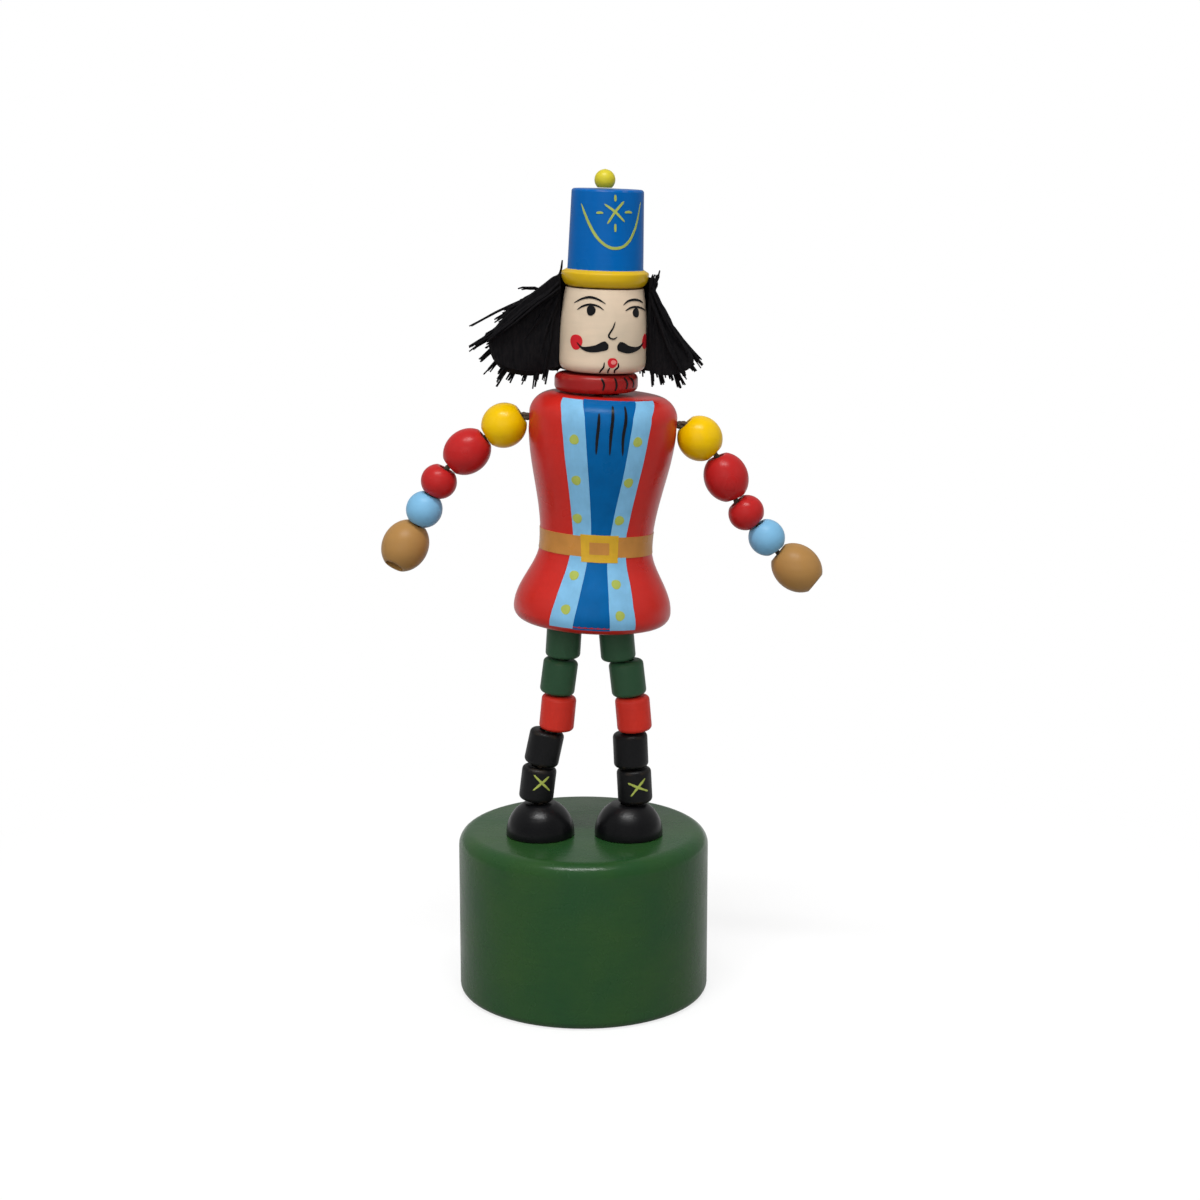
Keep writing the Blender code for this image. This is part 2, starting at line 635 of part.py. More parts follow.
def leg_cord(side, foot, leg_route, torso_frame, arm_route, parent):
    """From a knot in the button up through one leg, across the torso and out along the other arm."""
    sign = SIDE_SIGN[side]
    start = BUTTON_RECESS + KNOT_LENGTH
    ceiling = BASE_HEIGHT - BASE_TOP_THICKNESS
    points = []
    for height in (start, (start + ceiling) / 2, ceiling, (BASE_HEIGHT + foot.centre.z) / 2):
        points.append(Vector((foot.centre.x, FIGURE_Y, height)))
    points += leg_route
    off = sign * CORD_SIDE
    for height in (SEAT_GAP, SHOULDER_HEIGHT / 2):
        points.append(torso_frame @ Vector((sign * HIP_X, off, height)))
    for share in (0, 0.25, 0.5):
        inward = CORD_BEND * (1 - math.cos(math.pi * share))
        drop = CORD_BEND * (1 - math.sin(math.pi * share))
        points.append(torso_frame @ Vector((sign * (HIP_X - inward), off, SHOULDER_HEIGHT - drop)))
    points.append(torso_frame @ Vector((-sign * HIP_X, off, SHOULDER_HEIGHT)))
    points += arm_route
    cord(side + "_leg_cord", points, KNOT_RADIUS, parent)


def neck_cord(torso_frame, collar_low, collar_top, head_frame, parent):
    """A loop that hangs from two knots in the head and passes under both crossing cords."""
    pocket = HEAD_HEIGHT - KNOT_POCKET_DEPTH
    knot_foot = pocket + NECK_KNOT_LIFT
    strand = (
        head_frame @ Vector((0, NECK_KNOT_SIDE, knot_foot + 2 * SEAT_GAP)),
        head_frame @ Vector((0, NECK_KNOT_SIDE, knot_foot)),
        head_frame @ Vector((0, CORD_SIDE, pocket - NECK_KNOT_LIFT)),
        head_frame @ Vector((0, CORD_SIDE, HEAD_HEIGHT / 4)),
        (head_frame.translation + collar_top.centre) / 2 + Vector((0, CORD_SIDE, 0)),
        (collar_low + collar_top.centre) / 2 + Vector((0, CORD_SIDE, 0)),
        torso_frame @ Vector((COLLAR_SLIP / 2, CORD_SIDE, TORSO_HEIGHT)),
        torso_frame @ Vector((0, NECK_LOOP_RADIUS, SHOULDER_HEIGHT + NECK_LOOP_RADIUS)),
    )
    loop = []
    for share in (0, 0.25, 0.5, 0.75, 1):
        across = NECK_LOOP_RADIUS * math.cos(math.pi * share)
        drop = NECK_LOOP_RADIUS * math.sin(math.pi * share)
        loop.append(torso_frame @ Vector((0, across, SHOULDER_HEIGHT - drop)))
    mirrored = [Vector((p.x, 2 * FIGURE_Y - p.y, p.z)) for p in reversed(strand)]
    cord("neck_cord", list(strand) + loop + mirrored, NECK_KNOT_RADIUS, parent)


def centre_on_origin(root):
    """Move the whole puppet so that the middle of its span from hand to hand is at X = 0."""
    bpy.context.view_layer.update()
    across = [
        (piece.matrix_world @ Vector(corner)).x
        for piece in root.children
        if not piece.hide_render
        for corner in [v.co for v in getattr(piece.data, "vertices", ())]
    ]
    root.location.x = -(min(across) + max(across)) / 2


def main():
    for old in list(bpy.data.objects):
        bpy.data.objects.remove(old)
    root = bpy.data.objects.new("puppet", None)
    bpy.context.scene.collection.objects.link(root)
    make_base(root)
    make_button(root)
    make_spring(root)
    feet = {
        "left": make_foot("left", LEFT_FOOT_X, LEFT_FOOT_HEIGHT, root),
        "right": make_foot("right", RIGHT_FOOT_X, RIGHT_FOOT_HEIGHT, root),
    }
    hips = {}
    leg_routes = {}
    for side, foot in feet.items():
        hips[side], leg_routes[side] = make_leg(side, foot, root)
    torso_frame, torso_lean = make_torso(hips["left"], hips["right"], root)
    arm_routes = {side: make_arm(side, torso_frame, torso_lean, root) for side in feet}
    collar_top, collar_low = make_collar(torso_frame, torso_lean, root)
    head_frame = make_head(collar_top, root)
    make_hat(head_frame, root)
    make_hair(head_frame, root)
    leg_cord("left", feet["left"], leg_routes["left"], torso_frame, arm_routes["right"], root)
    leg_cord("right", feet["right"], leg_routes["right"], torso_frame, arm_routes["left"], root)
    neck_cord(torso_frame, collar_low, collar_top, head_frame, root)
    centre_on_origin(root)


main()
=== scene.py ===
"""Looks of a thumb push puppet, a strung wooden soldier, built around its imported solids.

The turned wood is spun again in finer steps, the painted dress lies on it in thin coats,
and the yarn hair, the cords and the spring are modelled as what they are.
Left and right are as seen from the front, which faces -Y. Lengths are in metres.
"""

import bisect
import math
import random
from collections import namedtuple

import bmesh
import bpy
from bpy.props import FloatProperty, FloatVectorProperty, IntProperty, PointerProperty
from bpy.types import Operator, Panel, PropertyGroup
from mathutils import Matrix, Vector


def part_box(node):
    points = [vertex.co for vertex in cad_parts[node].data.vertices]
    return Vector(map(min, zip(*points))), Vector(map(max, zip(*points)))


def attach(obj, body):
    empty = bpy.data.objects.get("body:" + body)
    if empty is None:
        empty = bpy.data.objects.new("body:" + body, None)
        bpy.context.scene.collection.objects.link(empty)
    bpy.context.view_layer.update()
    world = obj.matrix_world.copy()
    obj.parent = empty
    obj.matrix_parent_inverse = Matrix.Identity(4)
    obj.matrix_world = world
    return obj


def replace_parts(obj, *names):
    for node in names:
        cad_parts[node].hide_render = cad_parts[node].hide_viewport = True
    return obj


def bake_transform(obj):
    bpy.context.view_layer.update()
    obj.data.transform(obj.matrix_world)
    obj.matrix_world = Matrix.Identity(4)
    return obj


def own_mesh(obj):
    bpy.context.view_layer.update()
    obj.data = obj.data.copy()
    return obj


bl_info = {
    "name": "Push puppet looks",
    "version": (1, 0, 0),
    "blender": (4, 5, 0),
    "location": "3D View > Sidebar > Puppet",
    "description": "Turns, paints and strings a wooden push puppet around its packed solids",
    "category": "Object",
}

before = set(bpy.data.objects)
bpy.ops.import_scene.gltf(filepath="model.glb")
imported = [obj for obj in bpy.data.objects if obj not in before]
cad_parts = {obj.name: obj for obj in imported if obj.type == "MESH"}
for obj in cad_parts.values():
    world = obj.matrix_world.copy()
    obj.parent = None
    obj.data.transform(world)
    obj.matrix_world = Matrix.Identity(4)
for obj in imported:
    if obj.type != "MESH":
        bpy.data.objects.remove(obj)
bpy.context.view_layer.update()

SIDES = {"left": -1, "right": 1}
MERGE_DISTANCE = 1e-7
SHARP_ANGLE = math.radians(40)
# How far a drill runs on past a face, and how deep a coat of paint reaches into the wood.
DRILL_OVERSHOOT = 0.001
PAINT_BITE = 0.00003
# An edge as tight as this, or tighter, is rubbed the most.
RUBBED_RADIUS = 0.0008

BASE_TOP_ROUND = 0.0027
BASE_FOOT_ROUND = 0.0015
BASE_TOP_THICKNESS = 0.008
CAVITY_RADIUS = 0.017
CAVITY_ROUND = 0.0006
CORD_BORE_RADIUS = 0.0015
FOOT_DROP = 0.0003
BUTTON_THICKNESS = 0.0065
BUTTON_ROUND = 0.0008
BUTTON_BACK_ROUND = 0.0004
SPIGOT_RADIUS = 0.0044
SPIGOT_ROUND = 0.0005
SPIGOT_FOOT_ROUND = 0.0003
CORD_HOLE_RADIUS = 0.0009
KNOT_POCKET_RADIUS = 0.0015
KNOT_POCKET_DEPTH = 0.0026
THUMB_DISH = 0.0007
# The dish's floor and rim: reach and rounding, as shares of the button's radius.
DISH_FLOOR = (0.55, 0.3)
DISH_RIM = (0.86, 0.2)
SPRING_WIRE_RADIUS = 0.0004
SPRING_TURNS = 4.0
SPRING_END_RISE = 2.1 * SPRING_WIRE_RADIUS
SPRING_STEPS = 28

LEG_NAMES = ("boot_lower", "boot_upper", "knee", "thigh_lower", "thigh_upper")
LEG_LEANS = {"left": (7.0, 12.0, 5.5, 7.5, 3.5), "right": (-3.0, -2.5, -5.0, -6.5, -5.0)}
LEG_ROUND = 0.0008
ARM_NAMES = ("shoulder", "upper_arm", "forearm", "cuff", "hand")
ARM_FLATS = (0.0018, 0.0018, 0.0018, 0.0017, 0.0019)
ARM_DROOPS = {"left": (32.0, 39.0, 61.0, 63.0, 61.0), "right": (46.0, 67.0, 47.0, 54.0, 38.0)}
ARM_BORE_RADIUS = 0.0012
HAND_HOLE_RADIUS = 0.00165
# What the shoulder beads give up, so that they clear the coat when they droop.
SHOULDER_EASE = 0.00006
HAND_TURNS = {"left": math.radians(27), "right": math.radians(12)}
HAND_HOLE_DEPTH = 0.0042
HAND_BORE_RADIUS = 0.0009

TORSO_LEAN = 3.261
HEM_ROUND = 0.0022
WAIST_RADIUS = 0.0098
WAIST_HEIGHT = 0.0138
CHEST_RADIUS = 0.01285
CHEST_DROP = 0.0047
SHOULDER_ROUND = 0.0039
SHOULDER_DROP = 0.0049
SHOULDER_BORE_RADIUS = 0.0017
HIP_X = 0.0049
NECK_BORE_RADIUS = 0.0026
NECK_BORE_DEPTH = 0.0076
COLLAR_LEAN = 1.0
COLLAR_ROUND = 0.0010
HEAD_LEAN = 1.8
HEAD_TOP_RADIUS = 0.0067
HEAD_ROUND = 0.0017
HEAD_TAPER_START = 0.35
POCKET_RADIUS = 0.0024
POCKET_DEPTH = 0.0044
BRIM_UNDER_RADIUS = 0.0060
BRIM_HEIGHT = 0.0030
BRIM_EDGE_HEIGHT = 0.00203
BRIM_LIP = 0.0004
BRIM_LIP_ROUND = 0.0003
BRIM_PAINT_GAP = 0.0001
CROWN_FOOT_RADIUS = 0.0065
CROWN_FOOT_ROUND = 0.0002
CROWN_TOP_RADIUS = 0.00615
CROWN_ROUND = 0.0005
POMPOM_SEAT_RADIUS = 0.0012

# The yarn's outline at each side and at the back: mm out from the head's axis and above its top,
# by way of the crest beside the brim, the shoulder, the bulge and the tips to the ragged hem.
HAIR_OUTLINES = {
    "left": ((8.6, 1.8), (10.8, 0.2), (14.5, -2.9), (18.4, -6.7), (20.5, -10.6), (18.0, -14.8),
             (12.0, -15.8)),
    "right": ((8.2, 1.4), (8.3, -0.8), (9.0, -3.4), (12.2, -7.2), (16.2, -12.4), (13.8, -14.6),
              (10.0, -15.0)),
    "back": ((8.0, 1.2), (9.2, 0.2), (10.8, -3.0), (12.4, -7.4), (13.2, -12.2), (12.0, -15.0),
             (9.8, -15.6)),
}
HAIR_INNER = 7.65
HAIR_CROWN = 0.5
HAIR_UNDERSIDE = -13.5
HAIR_START = 77.0
HAIR_END = 283.0
HAIR_CORE_SHARE = 0.94
HAIR_CORE_INSET = 3.0
# Waves in the core's hem, as size in mm and count round the head.
HAIR_WAVES = ((0.3, 31), (0.2, 53))
HAIR_SEED = 11
TUFT_STRANDS = 6
LOCK_STRANDS = 8
# Locks at the temples, as turn and tip, and single stray strands, as turn, root, tip and bend.
HAIR_LOCKS = (
    (271, (15.0, -3.0)), (272, (17.0, -4.7)), (271, (18.8, -6.4)), (273, (20.7, -9.1)),
    (270, (23.5, -11.5)), (272, (22.4, -11.2)), (274, (20.9, -12.9)), (271, (20.0, -15.3)),
    (275, (18.1, -16.9)), (272, (16.2, -16.6)), (277, (11.8, -17.4)), (274, (13.6, -16.4)),
    (279, (10.2, -16.8)), (88, (17.0, -12.6)), (86, (14.4, -16.0)), (89, (13.5, -16.9)),
    (84, (10.4, -16.0)), (82, (8.8, -16.3)), (85, (12.2, -15.6)))
HAIR_STRAYS = (
    (271, (9.5, -0.3), (22.7, -7.2), 0.02), (270, (9.6, -0.6), (23.0, -7.3), 0.03),
    (270, (10.6, -1.0), (14.8, -0.7), 0.24), (269, (10.2, -1.2), (14.2, -0.8), 0.20),
    (266, (7.9, 1.2), (7.4, 4.3), 0.0), (82, (8.0, 0.0), (9.4, 3.2), -0.12),
    (85, (8.2, -0.4), (8.9, 2.5), -0.1), (84, (8.0, 0.2), (8.5, 2.6), 0.0),
    (80, (7.9, 0.2), (8.2, 2.5), 0.0), (86, (8.4, -0.6), (8.9, 1.8), -0.1),
    (83, (8.2, 0.0), (8.8, 2.3), 0.0))

CORD_STEP = 0.0003
PLY_GROOVE = 0.13
CORD_OFFSET = 0.0006
CORD_BEND = 0.0024
HIP_CORD_END = 0.006
COAT_CORD_START = 0.005
COAT_CORD_RISE = 0.018
BUTTON_KNOT_HEIGHT = 0.0018
BUTTON_KNOT_DROP = 0.0004
HAND_KNOT_LIFT = 0.0009
HEAD_KNOT_LIFT = 0.0012
KNOT_SCALE = 0.00027
NECK_LOOP_RADIUS = 0.0017
NECK_LOOP_LIFT = 0.0012
# A link in two halves: how far each goes into the other's bead, as shares of half its length,
# and how thick the outer half is against the inner.
KNEE_OVERLAPS = (0.6, 0.4)
ARM_OVERLAPS = (0.4, 0.3)
OVERLAP_THICKNESS = 0.96

FLOOR_SIZE = 3.0
FLOOR_GREY = 0.25
FLOOR_LIFT = 0.76
FLOOR_SHINE_FRONT = 0.2
FLOOR_SHINE_BACK = 0.8
FLOOR_SHADOW = (0.05, 0.16)
WORLD_FRONT = 0.18
WORLD_BACK = 0.40
AIM_HEIGHT = 0.085
# Each lamp's name, place, width, depth and watts, and whether glossy paint mirrors it.
LAMPS = (
    ("key_light", (-0.04, -0.27, 0.70), 0.36, 0.06, 2.9, True),
    ("front_light", (-0.12, -0.95, 0.42), 0.9, 0.7, 4.7, False),
    ("left_light", (-0.60, -0.30, 0.40), 0.5, 0.5, 1.0, False),
    ("right_light", (0.60, -0.25, 0.40), 0.5, 0.5, 0.9, False),
    ("back_light", (0.10, 0.70, 0.55), 0.9, 0.5, 1.6, False))
CAMERA_LENS = 69.04
CAMERA_SENSOR = 36.0
CAMERA_SIDE = 0.002976
CAMERA_AWAY = 0.400
CAMERA_HEIGHT = 0.15225
CAMERA_DIP = 0.198


def tint(red, green, blue):
    """A colour as it shows on a screen, 0 to 255, in the linear values that a shader takes."""
    shares = [value / 255 for value in (red, green, blue)]
    return tuple(v / 12.92 if v <= 0.04045 else ((v + 0.055) / 1.055) ** 2.4 for v in shares)


# Paler, warmer tones that the base's and the face's paint drift towards.
BASE_WARMTH = tint(50, 80, 30)
SKIN_WARMTH = tint(228, 204, 178)


def swatch(label, said, shade):
    """A colour that a user can change."""
    return FloatVectorProperty(
        name=label, description=said, subtype="COLOR", size=3, min=0, max=1, default=shade)


def thickness(label, said, length):
    """A small length that a user can change."""
    return FloatProperty(name=label, description=said, default=length, min=0, unit="LENGTH")


class PuppetSizes(PropertyGroup):
    spin_steps: IntProperty(
        name="Turning steps", description="Steps round each turned piece", default=80, min=24, max=160)
    strand_count: IntProperty(
        name="Yarn strands", description="Strands of yarn glued round the head", default=620, min=50,
        max=1500)
    coat_thickness: thickness("Coat thickness", "How far a painted mark stands out", 0.00004)
    strand_radius: thickness("Strand radius", "Half the thickness of a strand", 0.00024)
    cord_radius: thickness("Cord radius", "Half the thickness of a cord", 0.00045)
    cord_lay: thickness("Cord lay", "Length of one turn of the cord's three plies", 0.0026)


class PuppetColours(PropertyGroup):
    base_green: swatch("Base green", "Gloss paint of the base", tint(32, 73, 37))
    thigh_green: swatch("Thigh green", "Satin paint of the upper legs", tint(42, 78, 52))
    coat_red: swatch("Coat red", "Gloss paint of the coat", tint(190, 36, 28))
    # The collar's red is darker than the coat's because painted shade from the head and the yarn above it
    # is mixed into its colour.
    collar_red_with_shade: swatch("Collar red", "Gloss paint of the collar", tint(146, 26, 25))
    arm_red: swatch("Arm red", "Gloss paint of the arm beads", tint(180, 34, 34))
    knee_red: swatch("Knee red", "Satin paint of the knees", tint(206, 46, 32))
    black: swatch("Boot black", "Satin paint of boots and feet", tint(12, 12, 14))
    yellow: swatch("Shoulder yellow", "Gloss paint of the shoulders", tint(228, 184, 0))
    brim: swatch("Brim yellow", "Paint of the hat's brim", tint(206, 168, 14))
    pompom: swatch("Pompom yellow", "Paint of the ball on the hat", tint(202, 188, 42))
    sky: swatch("Light blue", "Paint of cuffs and lapels", tint(122, 178, 214))
    hand: swatch("Hand tan", "Paint of the hands", tint(166, 124, 70))
    skin: swatch("Skin", "Paint of the head", tint(208, 190, 166))
    hat_blue: swatch("Hat blue", "Gloss paint of the hat", tint(0, 92, 166))
    panel_blue: swatch("Waistcoat blue", "Paint between the lapels", tint(0, 90, 152))
    belt: swatch("Belt", "Paint of the belt", tint(186, 128, 62))
    gold: swatch("Gold", "Paint of the buckle", tint(204, 160, 44))
    braid: swatch("Braid", "Yellow-green paint of dots and braid", tint(164, 176, 84))
    ink: swatch("Ink", "Black line paint", tint(20, 20, 22))
    rouge: swatch("Rouge", "Red paint of cheeks and mouth", tint(200, 34, 44))
    lip: swatch("Lip", "Pink paint of the lip", tint(224, 128, 122))
    yarn: swatch("Yarn", "Black yarn of the hair", tint(15, 15, 18))
    # A dark cotton cord, its brown darkened further as painted shade so that the links in the gaps between
    # beads read as shadow.
    cord: swatch("Cord", "Cotton cord", tint(84, 72, 60))
    wood: swatch("Bare wood", "Unpainted button", tint(208, 172, 128))
    steel: swatch("Spring steel", "Wire of the spring", tint(196, 196, 200))


def sizes():
    return bpy.context.scene.puppet_sizes


def colours():
    return bpy.context.scene.puppet_colours


def node_points(node, turn):
    back = turn.inverted()
    return [back @ vert.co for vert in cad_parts[node].data.vertices]


def seat_of(node, lean):
    """The frame of a turned node's foot, its axis along Z, with the node's radius and length."""
    turn = Matrix.Rotation(math.radians(lean), 4, "Y")
    points = node_points(node, turn)
    low = Vector([min(p[i] for p in points) for i in range(3)])
    high = Vector([max(p[i] for p in points) for i in range(3)])
    foot = Vector(((low.x + high.x) / 2, (low.y + high.y) / 2, low.z))
    return turn @ Matrix.Translation(foot), (high.x - low.x) / 2, high.z - low.z


def filleted(corners, steps=8):
    """A profile from (radius, height, rounding) corners, each rounded corner as an arc."""
    points = []
    for i, (radius, height, size) in enumerate(corners):
        here = Vector((radius, height))
        if not size:
            points.append(here)
            continue
        back = (Vector(corners[i - 1][:2]) - here).normalized()
        onward = (Vector(corners[i + 1][:2]) - here).normalized()
        half = back.angle(onward) / 2
        reach = size / math.tan(half)
        middle = here + (back + onward).normalized() * size / math.sin(half)
        first = here + back * reach - middle
        last = here + onward * reach - middle
        points += [middle + first.slerp(last, k / steps) * size for k in range(steps + 1)]
    return [(p.x, p.y) for p in points]


def arc(middle, reach, start, stop, steps):
    """Profile points on an upright ellipse about a middle, from one angle to another."""
    angles = [start + (stop - start) * k / steps for k in range(steps + 1)]
    return [(middle[0] + reach[0] * math.cos(a), middle[1] + reach[1] * math.sin(a)) for a in angles]


def smooth_line(points, count):
    """Points evenly spread over a smooth curve through the given points."""
    ends = [points[0] * 2 - points[1], *points, points[-1] * 2 - points[-2]]
    spans = len(points) - 1
    made = []
    for k in range(count + 1):
        place = min(spans * k / count, spans - 1e-9)
        i = int(place)
        t = place - i
        a, b, c, d = ends[i:i + 4]
        made.append((b * 2 + (c - a) * t + (a * 2 - b * 5 + c * 4 - d) * t * t
                     + (b * 3 - a - c * 3 + d) * t ** 3) / 2)
    return made


def spun(outer, inner=()):
    """A closed shape turned about Z from its outside and, where it is bored, its inside."""
    shape = bmesh.new()
    verts = [shape.verts.new((r, 0, z)) for r, z in [*outer, *reversed(inner)]]
    following = verts[1:] + verts[:1] if inner else verts[1:]
    edges = [shape.edges.new(pair) for pair in zip(verts, following)]
    bmesh.ops.spin(shape, geom=verts + edges, cent=(0, 0, 0), axis=(0, 0, 1), angle=math.tau,
                   steps=sizes().spin_steps, use_merge=True)
    return shape


def tidy(shape):
    """Joins doubled corners and turns all faces out."""
    bmesh.ops.remove_doubles(shape, verts=shape.verts, dist=MERGE_DISTANCE)
    bmesh.ops.dissolve_degenerate(shape, edges=shape.edges, dist=MERGE_DISTANCE)
    bmesh.ops.recalc_face_normals(shape, faces=shape.faces)
    return shape


def close_holes(shape):
    """Fills every open rim."""
    bmesh.ops.holes_fill(shape, edges=[edge for edge in shape.edges if edge.is_boundary], sides=0)


def mark_rubbed(mesh, shape):
    """Stores how sharply the surface bends, so that paint can thin on its edges."""
    sharpness = []
    for vert in shape.verts:
        bends = [0.0]
        for edge in vert.link_edges:
            if len(edge.link_faces) == 2:
                across = sum(face.calc_area() for face in edge.link_faces) / edge.calc_length() / 2
                bends.append(edge.calc_face_angle(0) / max(across, MERGE_DISTANCE))
        sharpness.append(min(1.0, max(bends) * RUBBED_RADIUS))
    mesh.attributes.new("rubbed", "FLOAT", "POINT").data.foreach_set("value", sharpness)


def add_piece(name, shape, materials, place):
    """Makes an object at the origin from a shape in its own frame, with its place in its mesh."""
    tidy(shape)
    bmesh.ops.transform(shape, matrix=place, verts=shape.verts)
    mesh = bpy.data.meshes.new(name)
    shape.to_mesh(mesh)
    mark_rubbed(mesh, shape)
    shape.free()
    mesh.shade_smooth()
    mesh.set_sharp_from_angle(angle=SHARP_ANGLE)
    for material in materials:
        mesh.materials.append(material)
    made = bpy.data.objects.new(name, mesh)
    bpy.context.scene.collection.objects.link(made)
    return made


def scratch_object(shape):
    """A passing object for the drill."""
    mesh = bpy.data.meshes.new("scratch")
    tidy(shape).to_mesh(mesh)
    shape.free()
    made = bpy.data.objects.new("scratch", mesh)
    bpy.context.scene.collection.objects.link(made)
    return made


def drill(foot, top, radius):
    shape = bmesh.new()
    along = top - foot
    place = Matrix.Translation((foot + top) / 2) @ along.to_track_quat("Z", "Y").to_matrix().to_4x4()
    bmesh.ops.create_cone(shape, cap_ends=True, segments=40, radius1=radius, radius2=radius,
                          depth=along.length, matrix=place)
    return shape


def bored(shape, holes):
    """Cuts round holes, each (foot, top, radius), out of a closed shape."""
    solid = scratch_object(shape)
    cutters = [scratch_object(drill(*hole)) for hole in holes]
    for cutter in cutters:
        cut = solid.modifiers.new("hole", "BOOLEAN")
        cut.operation = "DIFFERENCE"
        cut.solver = "EXACT"
        cut.object = cutter
    graph = bpy.context.evaluated_depsgraph_get()
    made = bmesh.new()
    made.from_object(solid, graph)
    for gone in [solid, *cutters]:
        mesh = gone.data
        bpy.data.objects.remove(gone)
        bpy.data.meshes.remove(mesh)
    return made


class Turning:
    """The outside of a turned piece: its frame, and its profile from foot to top."""

    def __init__(self, place, outer):
        self.place = place
        self.outer = outer
        self.runs = [0.0]
        for one, other in zip(outer, outer[1:]):
            self.runs.append(self.runs[-1] + math.dist(one, other))

    def run(self, height):
        """How far along the profile a height lies."""
        for i, (one, other) in enumerate(zip(self.outer, self.outer[1:])):
            if one[1] < other[1] and one[1] <= height <= other[1]:
                share = (height - one[1]) / (other[1] - one[1])
                return self.runs[i] + share * (self.runs[i + 1] - self.runs[i])
        raise ValueError(f"no surface at height {height}")

    def section(self, run):
        """Radius, height and the outward direction at a distance along the profile."""
        i = min(max(bisect.bisect_right(self.runs, run) - 1, 0), len(self.outer) - 2)
        one, other = Vector(self.outer[i]), Vector(self.outer[i + 1])
        along = (other - one).normalized()
        return one + along * (run - self.runs[i]), Vector((along.y, -along.x))

    def spot(self, turn, run, lift):
        """A point over the surface, by the turn from the front in degrees."""
        middle, outward = self.section(run)
        at = middle + outward * lift
        angle = math.radians(turn)
        return self.place @ Vector((at.x * math.sin(angle), -at.x * math.cos(angle), at.y))


class Brushwork:
    """Marks of one paint on a turned piece, gathered in one shape as thin closed coats."""

    def __init__(self, turning, layer):
        self.turning = turning
        self.low = -PAINT_BITE
        self.high = sizes().coat_thickness * layer
        self.shape = bmesh.new()

    def lay(self, sheet, spread, dome=0.0, ring=False):
        """Thickens a flat sheet and bends it over the wood; spread gives turn and run for its x and y."""
        faces = list({face for vert in sheet for face in vert.link_faces})
        made = bmesh.ops.extrude_face_region(self.shape, geom=faces, use_keep_orig=True)["geom"]
        tops = [item for item in made if isinstance(item, bmesh.types.BMVert)]
        bmesh.ops.translate(self.shape, verts=tops, vec=(0, 0, 1))
        if ring:
            walls = {face for vert in sheet + tops for face in vert.link_faces
                     if all(abs(corner.co.x) > 0.999 for corner in face.verts)}
            bmesh.ops.delete(self.shape, geom=list(walls), context="FACES")
        for vert in sheet + tops:
            turn, run = spread(vert.co.x, vert.co.y)
            lift = self.low
            if vert.co.z > 0.5:
                lift = self.high + dome * max(0.0, 1 - vert.co.x ** 2 - vert.co.y ** 2)
            vert.co = self.turning.spot(turn, run, lift)

    def stroke(self, points, widths, wave=0.05):
        """A brush stroke through (turn, height in mm) points, with its widths in mm from start to end."""
        path = [Vector((turn, self.turning.run(height / 1000))) for turn, height in points]
        count = 8 + 4 * len(points)
        line = smooth_line(path, count)
        press = smooth_line([Vector((width / 1000, 0)) for width in widths], count)
        sheet = bmesh.ops.create_grid(self.shape, x_segments=count, y_segments=2, size=1)["verts"]

        def spread(x, y):
            k = round((x + 1) / 2 * count)
            here = line[k]
            radius = self.turning.section(here.y)[0].x * math.pi / 180
            ahead = line[min(k + 1, count)] - line[max(k - 1, 0)]
            along = Vector((ahead.x * radius, ahead.y)).normalized()
            end = max(0.0, abs(x) - 0.82) / 0.18
            half = press[k].x / 2 * (1 + wave * math.sin(k * 1.7 + here.x))
            half *= math.sqrt(max(0.02, 1 - end * end))
            return here.x - along.y * y * half / radius, here.y + along.x * y * half

        self.lay(sheet, spread)

    def dot(self, turn, height, size, dome=0.00004, squash=1.0):
        """A round dab, its radius in mm; squash is its height against its width."""
        sheet = bmesh.ops.create_circle(
            self.shape, cap_ends=True, cap_tris=True, segments=28, radius=1)["verts"]
        run = self.turning.run(height / 1000)
        radius = self.turning.section(run)[0].x
        reach = size / 1000

        def spread(x, y):
            uneven = 1 + 0.04 * math.sin(3 * math.atan2(y, x) + turn)
            return turn + math.degrees(x * reach * uneven / radius), run + y * reach * squash * uneven

        self.lay(sheet, spread, dome)

    def panel(self, rows):
        """A filled field, in rows of (height in mm, left turn, right turn) from low to high."""
        sheet = bmesh.ops.create_grid(self.shape, x_segments=14, y_segments=44, size=1)["verts"]
        runs = [self.turning.run(row[0] / 1000) for row in rows]

        def spread(x, y):
            run = runs[0] + (runs[-1] - runs[0]) * (y + 1) / 2
            i = min(max(bisect.bisect_right(runs, run) - 1, 0), len(rows) - 2)
            share = (run - runs[i]) / (runs[i + 1] - runs[i])
            left, right = [rows[i][k] + (rows[i + 1][k] - rows[i][k]) * share for k in (1, 2)]
            return left + (right - left) * (x + 1) / 2, run

        self.lay(sheet, spread)

    def girdle(self, low, high, sway):
        """A painted ring whose edges, in mm, rise by sway at the front and fall by it at the back."""
        sheet = bmesh.ops.create_grid(self.shape, x_segments=96, y_segments=6, size=1)["verts"]
        ends = [self.turning.run(edge / 1000) for edge in (low, high)]

        def spread(x, y):
            rise = sway / 1000 * math.cos(math.pi * x)
            return 180 * x, ends[0] + (ends[1] - ends[0]) * (y + 1) / 2 + rise

        self.lay(sheet, spread, ring=True)

    def finish(self, name, material, body):
        made = add_piece(name, self.shape, [material], Matrix.Identity(4))
        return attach(made, body)


